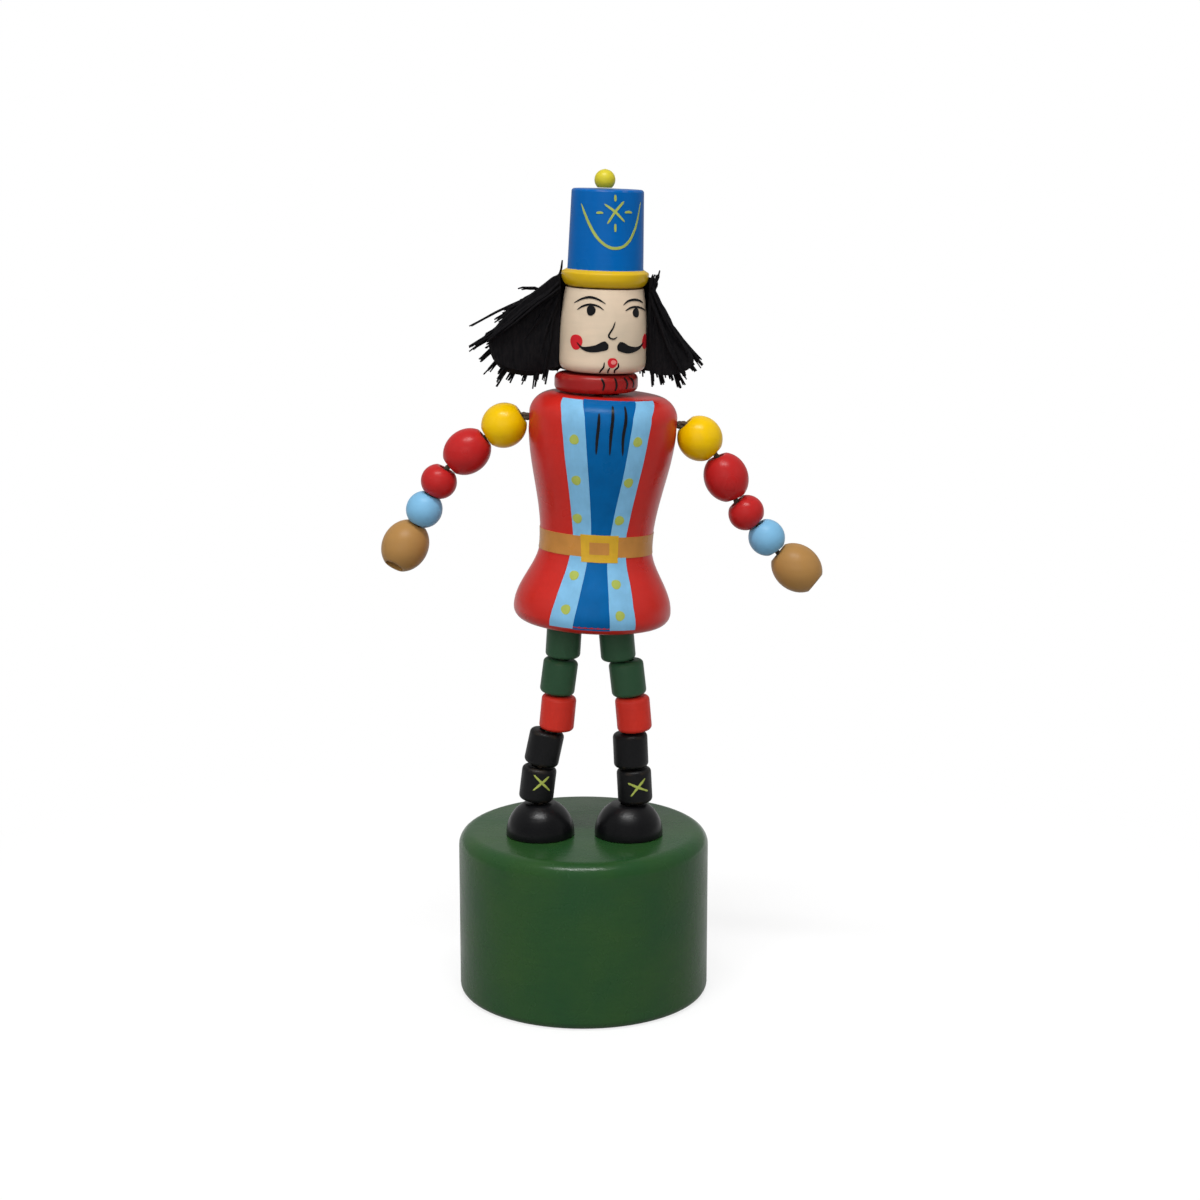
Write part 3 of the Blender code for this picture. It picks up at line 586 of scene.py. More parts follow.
class Wiring:
    """The nodes of one material or world, with the few joins that a finish is made of."""

    def __init__(self, tree):
        self.nodes = tree.nodes
        self.links = tree.links

    def put(self, socket, given):
        """Joins a socket to another one, or sets its value."""
        if isinstance(given, bpy.types.NodeSocket):
            self.links.new(given, socket)
        else:
            socket.default_value = given

    def calc(self, operation, *given):
        node = self.nodes.new("ShaderNodeMath")
        node.operation = operation
        for socket, value in zip(node.inputs, given):
            self.put(socket, value)
        return node.outputs[0]

    def coords(self, label="Object"):
        return self.nodes.new("ShaderNodeTexCoord").outputs[label]

    def depth(self, source):
        """How far back a point lies."""
        parts = self.nodes.new("ShaderNodeSeparateXYZ")
        self.put(parts.inputs[0], source)
        return parts.outputs["Y"]

    def speckle(self, scale, stretch=(1, 1, 1), detail=3.0):
        """Noise in the piece's own space; scale is in features per metre."""
        mapping = self.nodes.new("ShaderNodeMapping")
        mapping.inputs["Scale"].default_value = [scale * share for share in stretch]
        self.put(mapping.inputs["Vector"], self.coords())
        noise = self.nodes.new("ShaderNodeTexNoise")
        noise.inputs["Scale"].default_value = 1.0
        noise.inputs["Detail"].default_value = detail
        self.put(noise.inputs["Vector"], mapping.outputs["Vector"])
        return noise.outputs["Fac"]

    def spread(self, source, low, high, start=0.3, end=0.7):
        """Maps the values from start to end onto those from low to high."""
        node = self.nodes.new("ShaderNodeMapRange")
        for label, value in (("From Min", start), ("From Max", end), ("To Min", low), ("To Max", high)):
            node.inputs[label].default_value = value
        self.put(node.inputs["Value"], source)
        return node.outputs["Result"]

    def mix(self, share, one, other):
        """Mixes two colours, each a value or a socket, by a share socket."""
        node = self.nodes.new("ShaderNodeMix")
        node.data_type = "RGBA"
        self.put(node.inputs["Factor"], share)
        for socket, given in ((node.inputs[6], one), (node.inputs[7], other)):
            self.put(socket, given if isinstance(given, bpy.types.NodeSocket) else (*given, 1))
        return node.outputs[2]

    def ray_share(self, glossy):
        """1 for camera and transmission rays, the given socket's value for glossy rays, 0 for the rest."""
        path = self.nodes.new("ShaderNodeLightPath")
        total = self.calc("MULTIPLY", path.outputs["Is Glossy Ray"], glossy)
        for label in ("Is Camera Ray", "Is Transmission Ray"):
            total = self.calc("MAXIMUM", total, path.outputs[label])
        return total


class Finish(Wiring):
    """A new material and its shader, to be given colour, gloss and bump."""

    def __init__(self, name):
        self.material = bpy.data.materials.new(name)
        self.material.use_nodes = True
        super().__init__(self.material.node_tree)
        self.shader = self.nodes["Principled BSDF"]

    def set(self, label, given):
        self.put(self.shader.inputs[label], given)

    def bump(self, distance, *layers):
        """Adds up (height socket, weight) layers into one bump."""
        total = 0.0
        for source, weight in layers:
            total = self.calc("MULTIPLY_ADD", source, weight, total)
        node = self.nodes.new("ShaderNodeBump")
        node.inputs["Strength"].default_value = 1.0
        node.inputs["Distance"].default_value = distance
        self.put(node.inputs["Height"], total)
        self.set("Normal", node.outputs["Normal"])


def shaded(colour, factor):
    return tuple(min(1.0, c * factor) for c in colour)


def enamel(name, colour, gloss, warm=None, worn=0.4, marks=1.0, shine=0.3):
    """Brushed paint on turned wood: soft brush marks round it, uneven gloss, thin rubbed edges."""
    known = bpy.data.materials.get(name)
    if known:
        return known
    colour = tuple(colour)
    paint = Finish(name)
    cloud = paint.spread(paint.speckle(95), 0, 1)
    body = paint.mix(cloud, shaded(colour, 0.93), warm or shaded(colour, 1.06))
    streaks = paint.speckle(1500, (0.12, 0.12, 1.0), 2.0)
    body = paint.mix(paint.spread(streaks, 0, 0.22), body, shaded(colour, 0.86))
    rubbed = paint.nodes.new("ShaderNodeAttribute")
    rubbed.attribute_name = "rubbed"
    edge = paint.spread(rubbed.outputs["Fac"], 0, worn, 0.55, 1.0)
    patch = paint.spread(paint.speckle(700), 0, 1, 0.5, 0.75)
    pale = tuple(0.75 * c + 0.25 * w for c, w in zip(shaded(colour, 1.1), colours().wood))
    paint.set("Base Color", paint.mix(paint.calc("MULTIPLY", edge, patch), body, pale))
    paint.set("Roughness", paint.spread(paint.speckle(160), gloss - 0.04, gloss + 0.06))
    paint.set("Specular IOR Level", shine)
    orange_peel = paint.speckle(900, detail=2.0)
    grit = paint.speckle(5200, detail=1.0)
    paint.bump(0.00005, (streaks, 0.45 * marks), (orange_peel, 0.5 * marks), (grit, 0.12))
    return paint.material


def line_paint(name, colour, gloss=0.30, shine=0.2):
    """Hand-laid paint of marks and fields, with brush drag and a slightly uneven film."""
    known = bpy.data.materials.get(name)
    if known:
        return known
    colour = tuple(colour)
    paint = Finish(name)
    film = paint.spread(paint.speckle(420), 0, 1)
    body = paint.mix(film, shaded(colour, 0.90), shaded(colour, 1.07))
    drag = paint.speckle(2600, (1.0, 1.0, 0.15), 2.0)
    paint.set("Base Color", paint.mix(paint.spread(drag, 0, 0.25), body, shaded(colour, 0.82)))
    paint.set("Roughness", paint.spread(paint.speckle(300), gloss - 0.05, gloss + 0.08))
    paint.set("Specular IOR Level", shine)
    paint.bump(0.00003, (drag, 0.6), (paint.speckle(5200), 0.2))
    return paint.material


def yarn_material():
    """Matte black yarn with fuzz and slightly browner fibres."""
    yarn = Finish("hair_yarn")
    black = tuple(colours().yarn)
    brown = (black[0] * 1.7, black[1] * 1.5, black[2] * 1.3)
    fibre = yarn.speckle(2600, (1, 1, 0.25), 2.0)
    yarn.set("Base Color", yarn.mix(yarn.spread(fibre, 0, 1), shaded(black, 0.7), brown))
    yarn.set("Roughness", yarn.spread(yarn.speckle(900), 0.78, 0.95))
    yarn.set("Specular IOR Level", 0.1)
    yarn.bump(0.00008, (fibre, 1.0), (yarn.speckle(9000), 0.6))
    return yarn.material


def cord_material():
    """Cotton cord: dull and darker where its fibre bump is low, in a brown darkened partly as painted shade
    for the gaps between beads.
    """
    cotton = Finish("cotton_cord")
    pale = tuple(colours().cord)
    fibre = cotton.speckle(5000, (1, 1, 0.3), 2.0)
    cotton.set("Base Color", cotton.mix(cotton.spread(fibre, 0, 1), shaded(pale, 0.72), shaded(pale, 1.05)))
    cotton.set("Roughness", cotton.spread(cotton.speckle(900), 0.8, 0.95))
    cotton.bump(0.00006, (fibre, 1.0))
    return cotton.material


def bare_wood():
    """Sanded pale wood with long grain along Y."""
    wood = Finish("button_wood")
    pale = tuple(colours().wood)
    grain = wood.speckle(900, (1.0, 0.05, 1.0), 4.0)
    body = wood.mix(wood.spread(grain, 0, 1, 0.35, 0.65), shaded(pale, 0.72), shaded(pale, 1.04))
    soil = wood.spread(wood.speckle(60), 0, 0.35)
    wood.set("Base Color", wood.mix(soil, body, shaded(pale, 0.6)))
    wood.set("Roughness", wood.spread(grain, 0.5, 0.7))
    wood.bump(0.00006, (grain, 1.0))
    return wood.material


def spring_steel():
    """Drawn wire with fine die lines and a trace of dulling."""
    steel = Finish("wire_steel")
    bright = tuple(colours().steel)
    steel.set("Metallic", 1.0)
    dulled = steel.spread(steel.speckle(500), 0, 1)
    steel.set("Base Color", steel.mix(dulled, shaded(bright, 0.8), bright))
    steel.set("Roughness", steel.spread(steel.speckle(1800), 0.22, 0.36))
    steel.bump(0.00001, (steel.speckle(6000, (1, 1, 4)), 1.0))
    return steel.material


def base_frame():
    """The base's middle, radius and height."""
    low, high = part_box("base")
    return (low[0] + high[0]) / 2, (high[0] - low[0]) / 2, high[2]


def upright_hole(x, y, low, high, radius):
    return Vector((x, y, low)), Vector((x, y, high)), radius


def bead_profile(radius, length, rounding, steps):
    """The outline of a short cylinder bead, from its bore round to its bore."""
    return filleted([(CORD_BORE_RADIUS, 0, 0), (radius, 0, rounding), (radius, length, rounding),
                     (CORD_BORE_RADIUS, length, 0)], steps)


class PUPPET_OT_base(Operator):
    """Turns the hollow green base and the two black feet glued on it"""

    bl_idname = "puppet.base"
    bl_label = "Base and feet"

    def execute(self, context):
        hue = colours()
        middle, radius, height = base_frame()
        ceiling = height - BASE_TOP_THICKNESS
        outer = filleted([(CAVITY_RADIUS, 0, 0), (radius, 0, BASE_FOOT_ROUND),
                          (radius, height, BASE_TOP_ROUND), (0, height, 0)], 12)
        inside = filleted([(CAVITY_RADIUS, 0, 0), (CAVITY_RADIUS, ceiling, CAVITY_ROUND),
                           (0, ceiling, 0)], 4)
        place = Matrix.Translation((middle, 0, 0))
        feet = {side: seat_of(side + "_foot", 0) for side in SIDES}
        holes = []
        for seat, _, _ in feet.values():
            x, y = seat.translation.x - middle, seat.translation.y
            holes.append(upright_hole(x, y, ceiling - DRILL_OVERSHOOT, height + DRILL_OVERSHOOT,
                                      CORD_BORE_RADIUS))
        shape = spun(inside[::-1] + outer[1:])
        warm = tuple((c + w) / 2 for c, w in zip(hue.base_green, BASE_WARMTH))
        paint = enamel("base_enamel", hue.base_green, 0.25, warm=warm, marks=1.5)
        base = add_piece("turned_base", bored(shape, holes), [paint], place)
        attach(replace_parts(base, "base"), "base")
        black = enamel("foot_enamel", hue.black, 0.30, worn=0.12)
        for side, (seat, wide, tall) in feet.items():
            start = math.asin(-FOOT_DROP / wide)
            stop = math.asin((tall - FOOT_DROP) / wide)
            ball = arc((0, FOOT_DROP), (wide, wide), start, stop, 20)
            bore = [(CORD_BORE_RADIUS, 0), (CORD_BORE_RADIUS, tall)]
            foot = add_piece(side + "_ball_foot", spun(ball, bore), [black], seat)
            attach(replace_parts(foot, side + "_foot"), "base")
        return {"FINISHED"}


class PUPPET_OT_button(Operator):
    """Turns the bare wooden thumb button and winds the return spring above it"""

    bl_idname = "puppet.button"
    bl_label = "Button and spring"

    def execute(self, context):
        middle, _, height = base_frame()
        seat, radius, tall = seat_of("push_button", 0)
        floor, floor_round = [radius * share for share in DISH_FLOOR]
        rim, rim_round = [radius * share for share in DISH_RIM]
        outer = filleted([
            (0, THUMB_DISH, 0), (floor, THUMB_DISH, floor_round), (rim, 0, rim_round),
            (radius, 0, BUTTON_ROUND), (radius, BUTTON_THICKNESS, BUTTON_BACK_ROUND),
            (SPIGOT_RADIUS, BUTTON_THICKNESS, SPIGOT_FOOT_ROUND), (SPIGOT_RADIUS, tall, SPIGOT_ROUND),
            (0, tall, 0)], 5)
        holes = []
        for side in SIDES:
            foot = seat_of(side + "_foot", 0)[0].translation
            for depth, wide in ((BUTTON_THICKNESS + DRILL_OVERSHOOT, CORD_HOLE_RADIUS),
                                (KNOT_POCKET_DEPTH, KNOT_POCKET_RADIUS)):
                holes.append(upright_hole(foot.x - middle, foot.y, -DRILL_OVERSHOOT, depth, wide))
        button = add_piece("thumb_button", bored(spun(outer), holes), [bare_wood()], seat)
        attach(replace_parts(button, "push_button"), "push_button")
        low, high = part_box("return_spring")
        wire = SPRING_WIRE_RADIUS
        coil = (high[0] - low[0]) / 2 - wire
        shape = bmesh.new()
        start = Matrix.Translation((coil, 0, 0)) @ Matrix.Rotation(math.pi / 2, 4, "X")
        bmesh.ops.create_circle(shape, cap_ends=False, segments=10, radius=wire, matrix=start)
        rise = high[2] - low[2] - 2 * wire
        grown = [*shape.verts, *shape.edges]
        for turn, climb in ((1.0, SPRING_END_RISE), (SPRING_TURNS, rise - 2 * SPRING_END_RISE),
                            (1.0, SPRING_END_RISE)):
            steps = round(SPRING_STEPS * turn)
            grown = bmesh.ops.spin(shape, geom=grown, cent=(0, 0, 0), axis=(0, 0, 1), angle=math.tau * turn,
                                   dvec=(0, 0, climb / steps), steps=steps)["geom_last"]
        close_holes(shape)
        place = Matrix.Translation((middle, 0, low[2] + wire))
        spring = add_piece("coil_spring", shape, [spring_steel()], place)
        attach(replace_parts(spring, "return_spring"), "base")
        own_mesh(spring)
        return {"FINISHED"}


def leg_seat(side, name):
    return seat_of(side + "_" + name, LEG_LEANS[side][LEG_NAMES.index(name)])


def arm_seat(side, name):
    return seat_of(side + "_" + name, SIDES[side] * (90 + ARM_DROOPS[side][ARM_NAMES.index(name)]))


def hand_pocket(side, length):
    """The floor of a hand's knot hole and a point beyond its mouth, in the hand's own frame."""
    middle = Vector((0, 0, length / 2))
    way = Matrix.Rotation(HAND_TURNS[side], 3, "X") @ Vector((0, 0, 1))
    return middle + way * (length / 2 - HAND_HOLE_DEPTH), middle + way * length


class PUPPET_OT_legs(Operator):
    """Turns the ten short leg beads and paints the crosses on the boots"""

    bl_idname = "puppet.legs"
    bl_label = "Leg beads"

    def execute(self, context):
        hue = colours()
        finishes = {
            "boot_lower": ("boot_enamel", hue.black, "black_enamel"),
            "boot_upper": ("boot_enamel", hue.black, "black_enamel"),
            "knee": ("knee_enamel", hue.knee_red, "red_enamel"),
            "thigh_lower": ("thigh_enamel", hue.thigh_green, "dark_green_enamel"),
            "thigh_upper": ("thigh_enamel", hue.thigh_green, "dark_green_enamel"),
        }
        crosses = {
            "left": (((-16.5, 5.3), (14, 3.95), (46, 2.5)), ((36, 5.2), (13, 3.95), (-13, 2.45))),
            "right": (((-21.8, 4.25), (11, 3.4), (48, 2.4)), ((38, 4.85), (11, 3.4), (-14, 1.8))),
        }
        braid = line_paint("braid_paint", hue.braid)
        for side in SIDES:
            for name in LEG_NAMES:
                seat, radius, length = leg_seat(side, name)
                outer = bead_profile(radius, length, LEG_ROUND, 7)
                label, shade, slot_name = finishes[name]
                paint = enamel(label, shade, 0.45, worn=0.12, marks=1.4)
                bead = add_piece(f"{side}_{name}_bead", spun(outer[1:-1], [outer[0], outer[-1]]),
                                 [paint], seat)
                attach(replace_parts(bead, f"{side}_{name}"), f"{side}_{name}")
                if name == "boot_lower":
                    brush = Brushwork(Turning(seat, outer), 1.5)
                    for line in crosses[side]:
                        brush.stroke(line, (0.30, 0.42, 0.26), wave=0.12)
                    brush.finish(side + "_boot_cross", braid, f"{side}_{name}")
        return {"FINISHED"}


class PUPPET_OT_arms(Operator):
    """Turns the ten oval arm beads, with the knot hole in each hand"""

    bl_idname = "puppet.arms"
    bl_label = "Arm beads"

    def execute(self, context):
        hue = colours()
        finishes = {
            "shoulder": ("shoulder_enamel", hue.yellow, 0.30, "yellow_enamel"),
            "upper_arm": ("arm_enamel", hue.arm_red, 0.30, "red_enamel"),
            "forearm": ("arm_enamel", hue.arm_red, 0.30, "red_enamel"),
            "cuff": ("cuff_enamel", hue.sky, 0.36, "light_blue_enamel"),
            "hand": ("hand_enamel", hue.hand, 0.36, "tan_enamel"),
        }
        for side in SIDES:
            for name, flat in zip(ARM_NAMES, ARM_FLATS):
                seat, radius, length = arm_seat(side, name)
                if name == "shoulder":
                    radius -= SHOULDER_EASE
                swing = math.acos(flat / radius)
                half = length / 2 / math.sin(swing)
                outer = arc((0, length / 2), (radius, half), -swing, swing, 28)
                inner = [(ARM_BORE_RADIUS, 0), (ARM_BORE_RADIUS, length)]
                shape = self.hand(side, outer, length) if name == "hand" else spun(outer, inner)
                label, shade, gloss, slot_name = finishes[name]
                paint = enamel(label, shade, gloss, shine=0.2)
                bead = add_piece(f"{side}_{name}_bead", shape, [paint], seat)
                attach(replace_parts(bead, f"{side}_{name}"), f"{side}_{name}")
        return {"FINISHED"}

    def hand(self, side, outer, length):
        """The last bead, turned on its cord so that the hole of its knot looks out towards the front."""
        shape = spun([(0, outer[0][1]), *outer, (0, outer[-1][1])])
        middle = Vector((0, 0, length / 2))
        turn = Matrix.Rotation(HAND_TURNS[side], 3, "X")
        bmesh.ops.rotate(shape, verts=shape.verts, cent=middle, matrix=turn)
        bmesh.ops.bisect_plane(shape, geom=[*shape.verts, *shape.edges, *shape.faces], dist=MERGE_DISTANCE,
                               plane_co=(0, 0, 0), plane_no=(0, 0, -1), clear_outer=True)
        close_holes(shape)
        floor, mouth = hand_pocket(side, length)
        return bored(shape, [upright_hole(0, 0, -DRILL_OVERSHOOT, length / 2, HAND_BORE_RADIUS),
                             (middle, mouth, HAND_BORE_RADIUS), (floor, mouth, HAND_HOLE_RADIUS)])


def coat_outline(hem, tall):
    """The coat's outside: a rounded hem, a flared skirt, a waist, a broad chest and round shoulders."""
    chest = tall - CHEST_DROP
    edge = hem - HEM_ROUND
    points = [(0, 0), (edge, 0)]
    points += arc((edge, HEM_ROUND), (HEM_ROUND, HEM_ROUND), -math.pi / 2, 0, 8)[1:]
    for k in range(1, 41):
        height = HEM_ROUND + (chest - HEM_ROUND) * k / 40
        if height < WAIST_HEIGHT:
            share = (WAIST_HEIGHT - height) / (WAIST_HEIGHT - HEM_ROUND)
            wide = hem
        else:
            share = (height - WAIST_HEIGHT) / (chest - WAIST_HEIGHT)
            wide = CHEST_RADIUS
        points.append((WAIST_RADIUS + (wide - WAIST_RADIUS) * (1 - math.cos(math.pi * share)) / 2, height))
    points += arc((CHEST_RADIUS - SHOULDER_ROUND, tall - SHOULDER_ROUND), (SHOULDER_ROUND, SHOULDER_ROUND),
                  0, math.pi / 2, 12)
    points.append((0, tall))
    return points


class PUPPET_OT_coat(Operator):
    """Turns the red coat and paints its waistcoat, lapels, buttons, belt and buckle"""

    bl_idname = "puppet.coat"
    bl_label = "Coat"

    def execute(self, context):
        hue = colours()
        seat, hem, tall = seat_of("torso", TORSO_LEAN)
        outer = coat_outline(hem, tall)
        chest = tall - SHOULDER_DROP
        reach = CHEST_RADIUS + DRILL_OVERSHOOT
        holes = [
            (Vector((-reach, 0, chest)), Vector((reach, 0, chest)), SHOULDER_BORE_RADIUS),
            upright_hole(0, 0, tall - NECK_BORE_DEPTH, tall + DRILL_OVERSHOOT, NECK_BORE_RADIUS),
        ]
        for x in (-HIP_X, HIP_X):
            holes.append(upright_hole(x, 0, -DRILL_OVERSHOOT, chest, CORD_BORE_RADIUS))
        coat = add_piece("coat", bored(spun(outer), holes), [enamel("coat_enamel", hue.coat_red, 0.30)],
                         seat)
        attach(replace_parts(coat, "torso"), "torso")
        side = Turning(seat, outer[1:-1])
        field = Brushwork(side, 1.0)
        field.panel([
            (1.0, -14.5, 13.5), (8.5, -10.5, 12.4), (12.0, -8.3, 12.1), (16.7, -6, 14), (19.6, -7, 15.3),
            (26.8, -9.8, 19.2), (33.8, -13, 21.6), (37.7, -15.2, 23.8), (39.9, -21, 31.8)])
        blue = line_paint("panel_paint", hue.panel_blue, 0.32, shine=0.1)
        field.finish("waistcoat", blue, "torso")
        lapels = Brushwork(side, 1.8)
        lapels.panel([
            (1.15, -32.2, -13.9), (5.1, -29.6, -11.4), (8.6, -28.6, -9.9), (12.5, -26.6, -7.8),
            (16.4, -23.7, -5.4), (19.5, -25.3, -6.4), (26.4, -27.9, -9.3), (33.4, -31, -12.4),
            (37.4, -34, -14.6), (39.75, -43, -20.4)])
        lapels.panel([
            (1.15, 13.1, 33.2), (5.0, 11.9, 31.2), (8.8, 11.9, 32.5), (12.4, 11.6, 31.7),
            (16.6, 13.4, 30.1), (19.6, 14.8, 31.7), (26.6, 18.6, 34), (33.8, 21.1, 36.8),
            (37.6, 23.2, 39.8), (39.85, 31.2, 54.6)])
        lapels.finish("lapels", line_paint("lapel_paint", hue.sky, 0.34), "torso")
        buttons = Brushwork(side, 2.6)
        for turn, height in ((-21.7, 33.3), (-20.0, 26.3), (-19.6, 19.6), (-18.7, 9.8), (-19.8, 4.3),
                             (27.6, 33.4), (24.3, 26.3), (20.8, 19.6), (19.1, 8.7), (20.1, 3.7)):
            buttons.dot(turn, height, 0.85)
        buttons.finish("coat_dots", line_paint("braid_paint", hue.braid), "torso")
        belt = Brushwork(side, 2.4)
        belt.girdle(12.72, 16.34, 0.28)
        belt.finish("belt", line_paint("belt_paint", hue.belt), "torso")
        buckle = Brushwork(side, 3.4)
        buckle.panel([(12.15, -13.9, 22.3), (14.5, -15, 22.3), (16.9, -16.4, 21.8)])
        buckle.finish("buckle", line_paint("gold_paint", hue.gold), "torso")
        tongue = Brushwork(side, 4.2)
        tongue.panel([(13.5, -6.4, 13.4), (14.5, -6.5, 13.2), (15.6, -6.9, 12.7)])
        tongue.finish("buckle_middle", line_paint("belt_paint", hue.belt), "torso")
        threads = Brushwork(side, 2.2)
        for line in (((-3.7, 38.0), (-3.5, 36.0), (-4.1, 33.5), (-4.2, 31.0)),
                     ((6.9, 39.2), (6.9, 37.4), (6.1, 34.2), (6.2, 31.0)),
                     ((17.6, 39.2), (17.0, 37.0), (15.5, 34.0), (16.3, 31.0))):
            threads.stroke(line, (0.34, 0.52, 0.50, 0.26))
        threads.finish("chest_lines", line_paint("ink_paint", hue.ink), "torso")
        return {"FINISHED"}


class PUPPET_OT_collar(Operator):
    """Turns the red collar disc and paints the beard lines on it"""

    bl_idname = "puppet.collar"
    bl_label = "Collar"

    def execute(self, context):
        hue = colours()
        seat, radius, tall = seat_of("collar", COLLAR_LEAN)
        outer = bead_profile(radius, tall, COLLAR_ROUND, 8)
        # The collar's darkened red carries painted shade from the head and hair.
        collar = add_piece("collar_disc", spun(outer[1:-1], [outer[0], outer[-1]]),
                           [enamel("collar_enamel", hue.collar_red_with_shade, 0.28)], seat)
        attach(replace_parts(collar, "collar"), "collar")
        lines = Brushwork(Turning(seat, outer), 2.0)
        for line in (((7.0, 2.75), (10.7, 1.75), (9.0, 0.7)), ((26.3, 2.85), (28.7, 1.6), (26.9, 0.6)),
                     ((42.1, 2.8), (47.2, 1.75), (45.2, 0.8)), ((53.0, 2.85), (62.6, 1.75), (60.8, 0.9))):
            lines.stroke(line, (0.30, 0.36, 0.24))
        lines.finish("collar_lines", line_paint("ink_paint", hue.ink), "collar")
        return {"FINISHED"}


def head_outline(cheek, tall):
    """The head's outside: a round chin and straight cheeks that draw in towards the brow."""
    points = filleted([(CORD_BORE_RADIUS, 0, 0), (cheek, 0, HEAD_ROUND), (cheek, tall, 0)], 10)[:-1]
    for k in range(1, 17):
        height = HEAD_ROUND + (tall - HEAD_ROUND) * k / 16
        share = max(0.0, (height / tall - HEAD_TAPER_START) / (1 - HEAD_TAPER_START))
        points.append((cheek + (HEAD_TOP_RADIUS - cheek) * share * share, height))
    return points


class PUPPET_OT_head(Operator):
    """Turns the head and paints a plain soldier's face with a moustache"""

    bl_idname = "puppet.head"
    bl_label = "Head"

    def execute(self, context):
        hue = colours()
        seat, cheek, tall = seat_of("head", HEAD_LEAN)
        outer = head_outline(cheek, tall)
        step = tall - POCKET_DEPTH
        inner = [(CORD_BORE_RADIUS, 0), (CORD_BORE_RADIUS, step), (POCKET_RADIUS, step),
                 (POCKET_RADIUS, tall)]
        skin = enamel("face_enamel", hue.skin, 0.40, warm=SKIN_WARMTH, marks=0.6)
        head = add_piece("turned_head", spun(outer[1:], inner), [skin], seat)
        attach(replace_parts(head, "head"), "head")
        side = Turning(seat, outer[1:])
        ink = line_paint("ink_paint", hue.ink)
        rouge = line_paint("rouge_paint", hue.rouge)
        cheeks = Brushwork(side, 1.0)
        cheeks.dot(-37.8, 5.3, 1.3)
        cheeks.dot(71.8, 5.4, 1.3)
        cheeks.finish("cheeks", rouge, "head")
        mouth = Brushwork(side, 1.2)
        mouth.dot(12.9, 2.05, 0.86)
        mouth.finish("mouth", rouge, "head")
        lip = Brushwork(side, 2.6)
        lip.dot(14.2, 2.15, 0.46, squash=0.8)
        lip.finish("lip", line_paint("lip_paint", hue.lip), "head")
        lines = Brushwork(side, 2.2)
        lines.stroke(((-46.1, 11.8), (-32.1, 12.6), (-20.1, 12.9), (-8.7, 12.6), (1.8, 11.9)),
                     (0.14, 0.34, 0.42, 0.34, 0.12))
        lines.stroke(((26.6, 11.75), (34.5, 12.4), (45.8, 12.6), (57.7, 12.4), (68.0, 11.95)),
                     (0.12, 0.34, 0.42, 0.34, 0.14))
        lines.stroke(((-39.1, 10.7), (-29.7, 11.4), (-18.7, 11.7), (-8.2, 11.45), (-0.3, 10.85)),
                     (0.14, 0.32, 0.36, 0.30, 0.12))
        lines.stroke(((29.8, 10.8), (37.9, 11.25), (47.8, 11.4), (61.2, 11.15), (75.5, 10.6)),
                     (0.12, 0.32, 0.36, 0.30, 0.14))
        lines.dot(-17.9, 10.72, 0.78, squash=1.12)
        lines.dot(48.2, 10.42, 0.76, squash=1.05)
        lines.stroke(((15.1, 9.0), (12.3, 7.95), (8.4, 7.1), (6.8, 6.65), (8.6, 6.25), (13.7, 6.1),
                      (18.3, 6.45)),
                     (0.16, 0.24, 0.28, 0.28, 0.28, 0.26, 0.14))
        lines.stroke(((6.6, 5.1), (-1.0, 4.75), (-9.0, 4.38), (-19.7, 4.22), (-28.3, 4.4), (-32.9, 4.85),
                      (-36.5, 5.3)),
                     (1.45, 1.5, 1.28, 0.95, 0.42, 0.22, 0.12))
        lines.stroke(((18.8, 4.95), (25.6, 4.7), (33.9, 4.3), (45.6, 4.28), (56.3, 4.6), (66.5, 5.4)),
                     (1.45, 1.62, 1.35, 0.86, 0.46, 0.14))
        lines.stroke(((2.3, 2.15), (1.4, 1.3), (-1.8, 0.75), (-4.4, 0.25)), (0.16, 0.28, 0.28, 0.18))
        lines.stroke(((9.9, 1.25), (7.8, 0.7), (8.3, 0.25)), (0.14, 0.28, 0.20))
        lines.stroke(((20.6, 2.05), (20.8, 1.35), (16.8, 0.8), (17.6, 0.25)), (0.16, 0.28, 0.28, 0.18))
        lines.finish("face_lines", ink, "head")
        return {"FINISHED"}


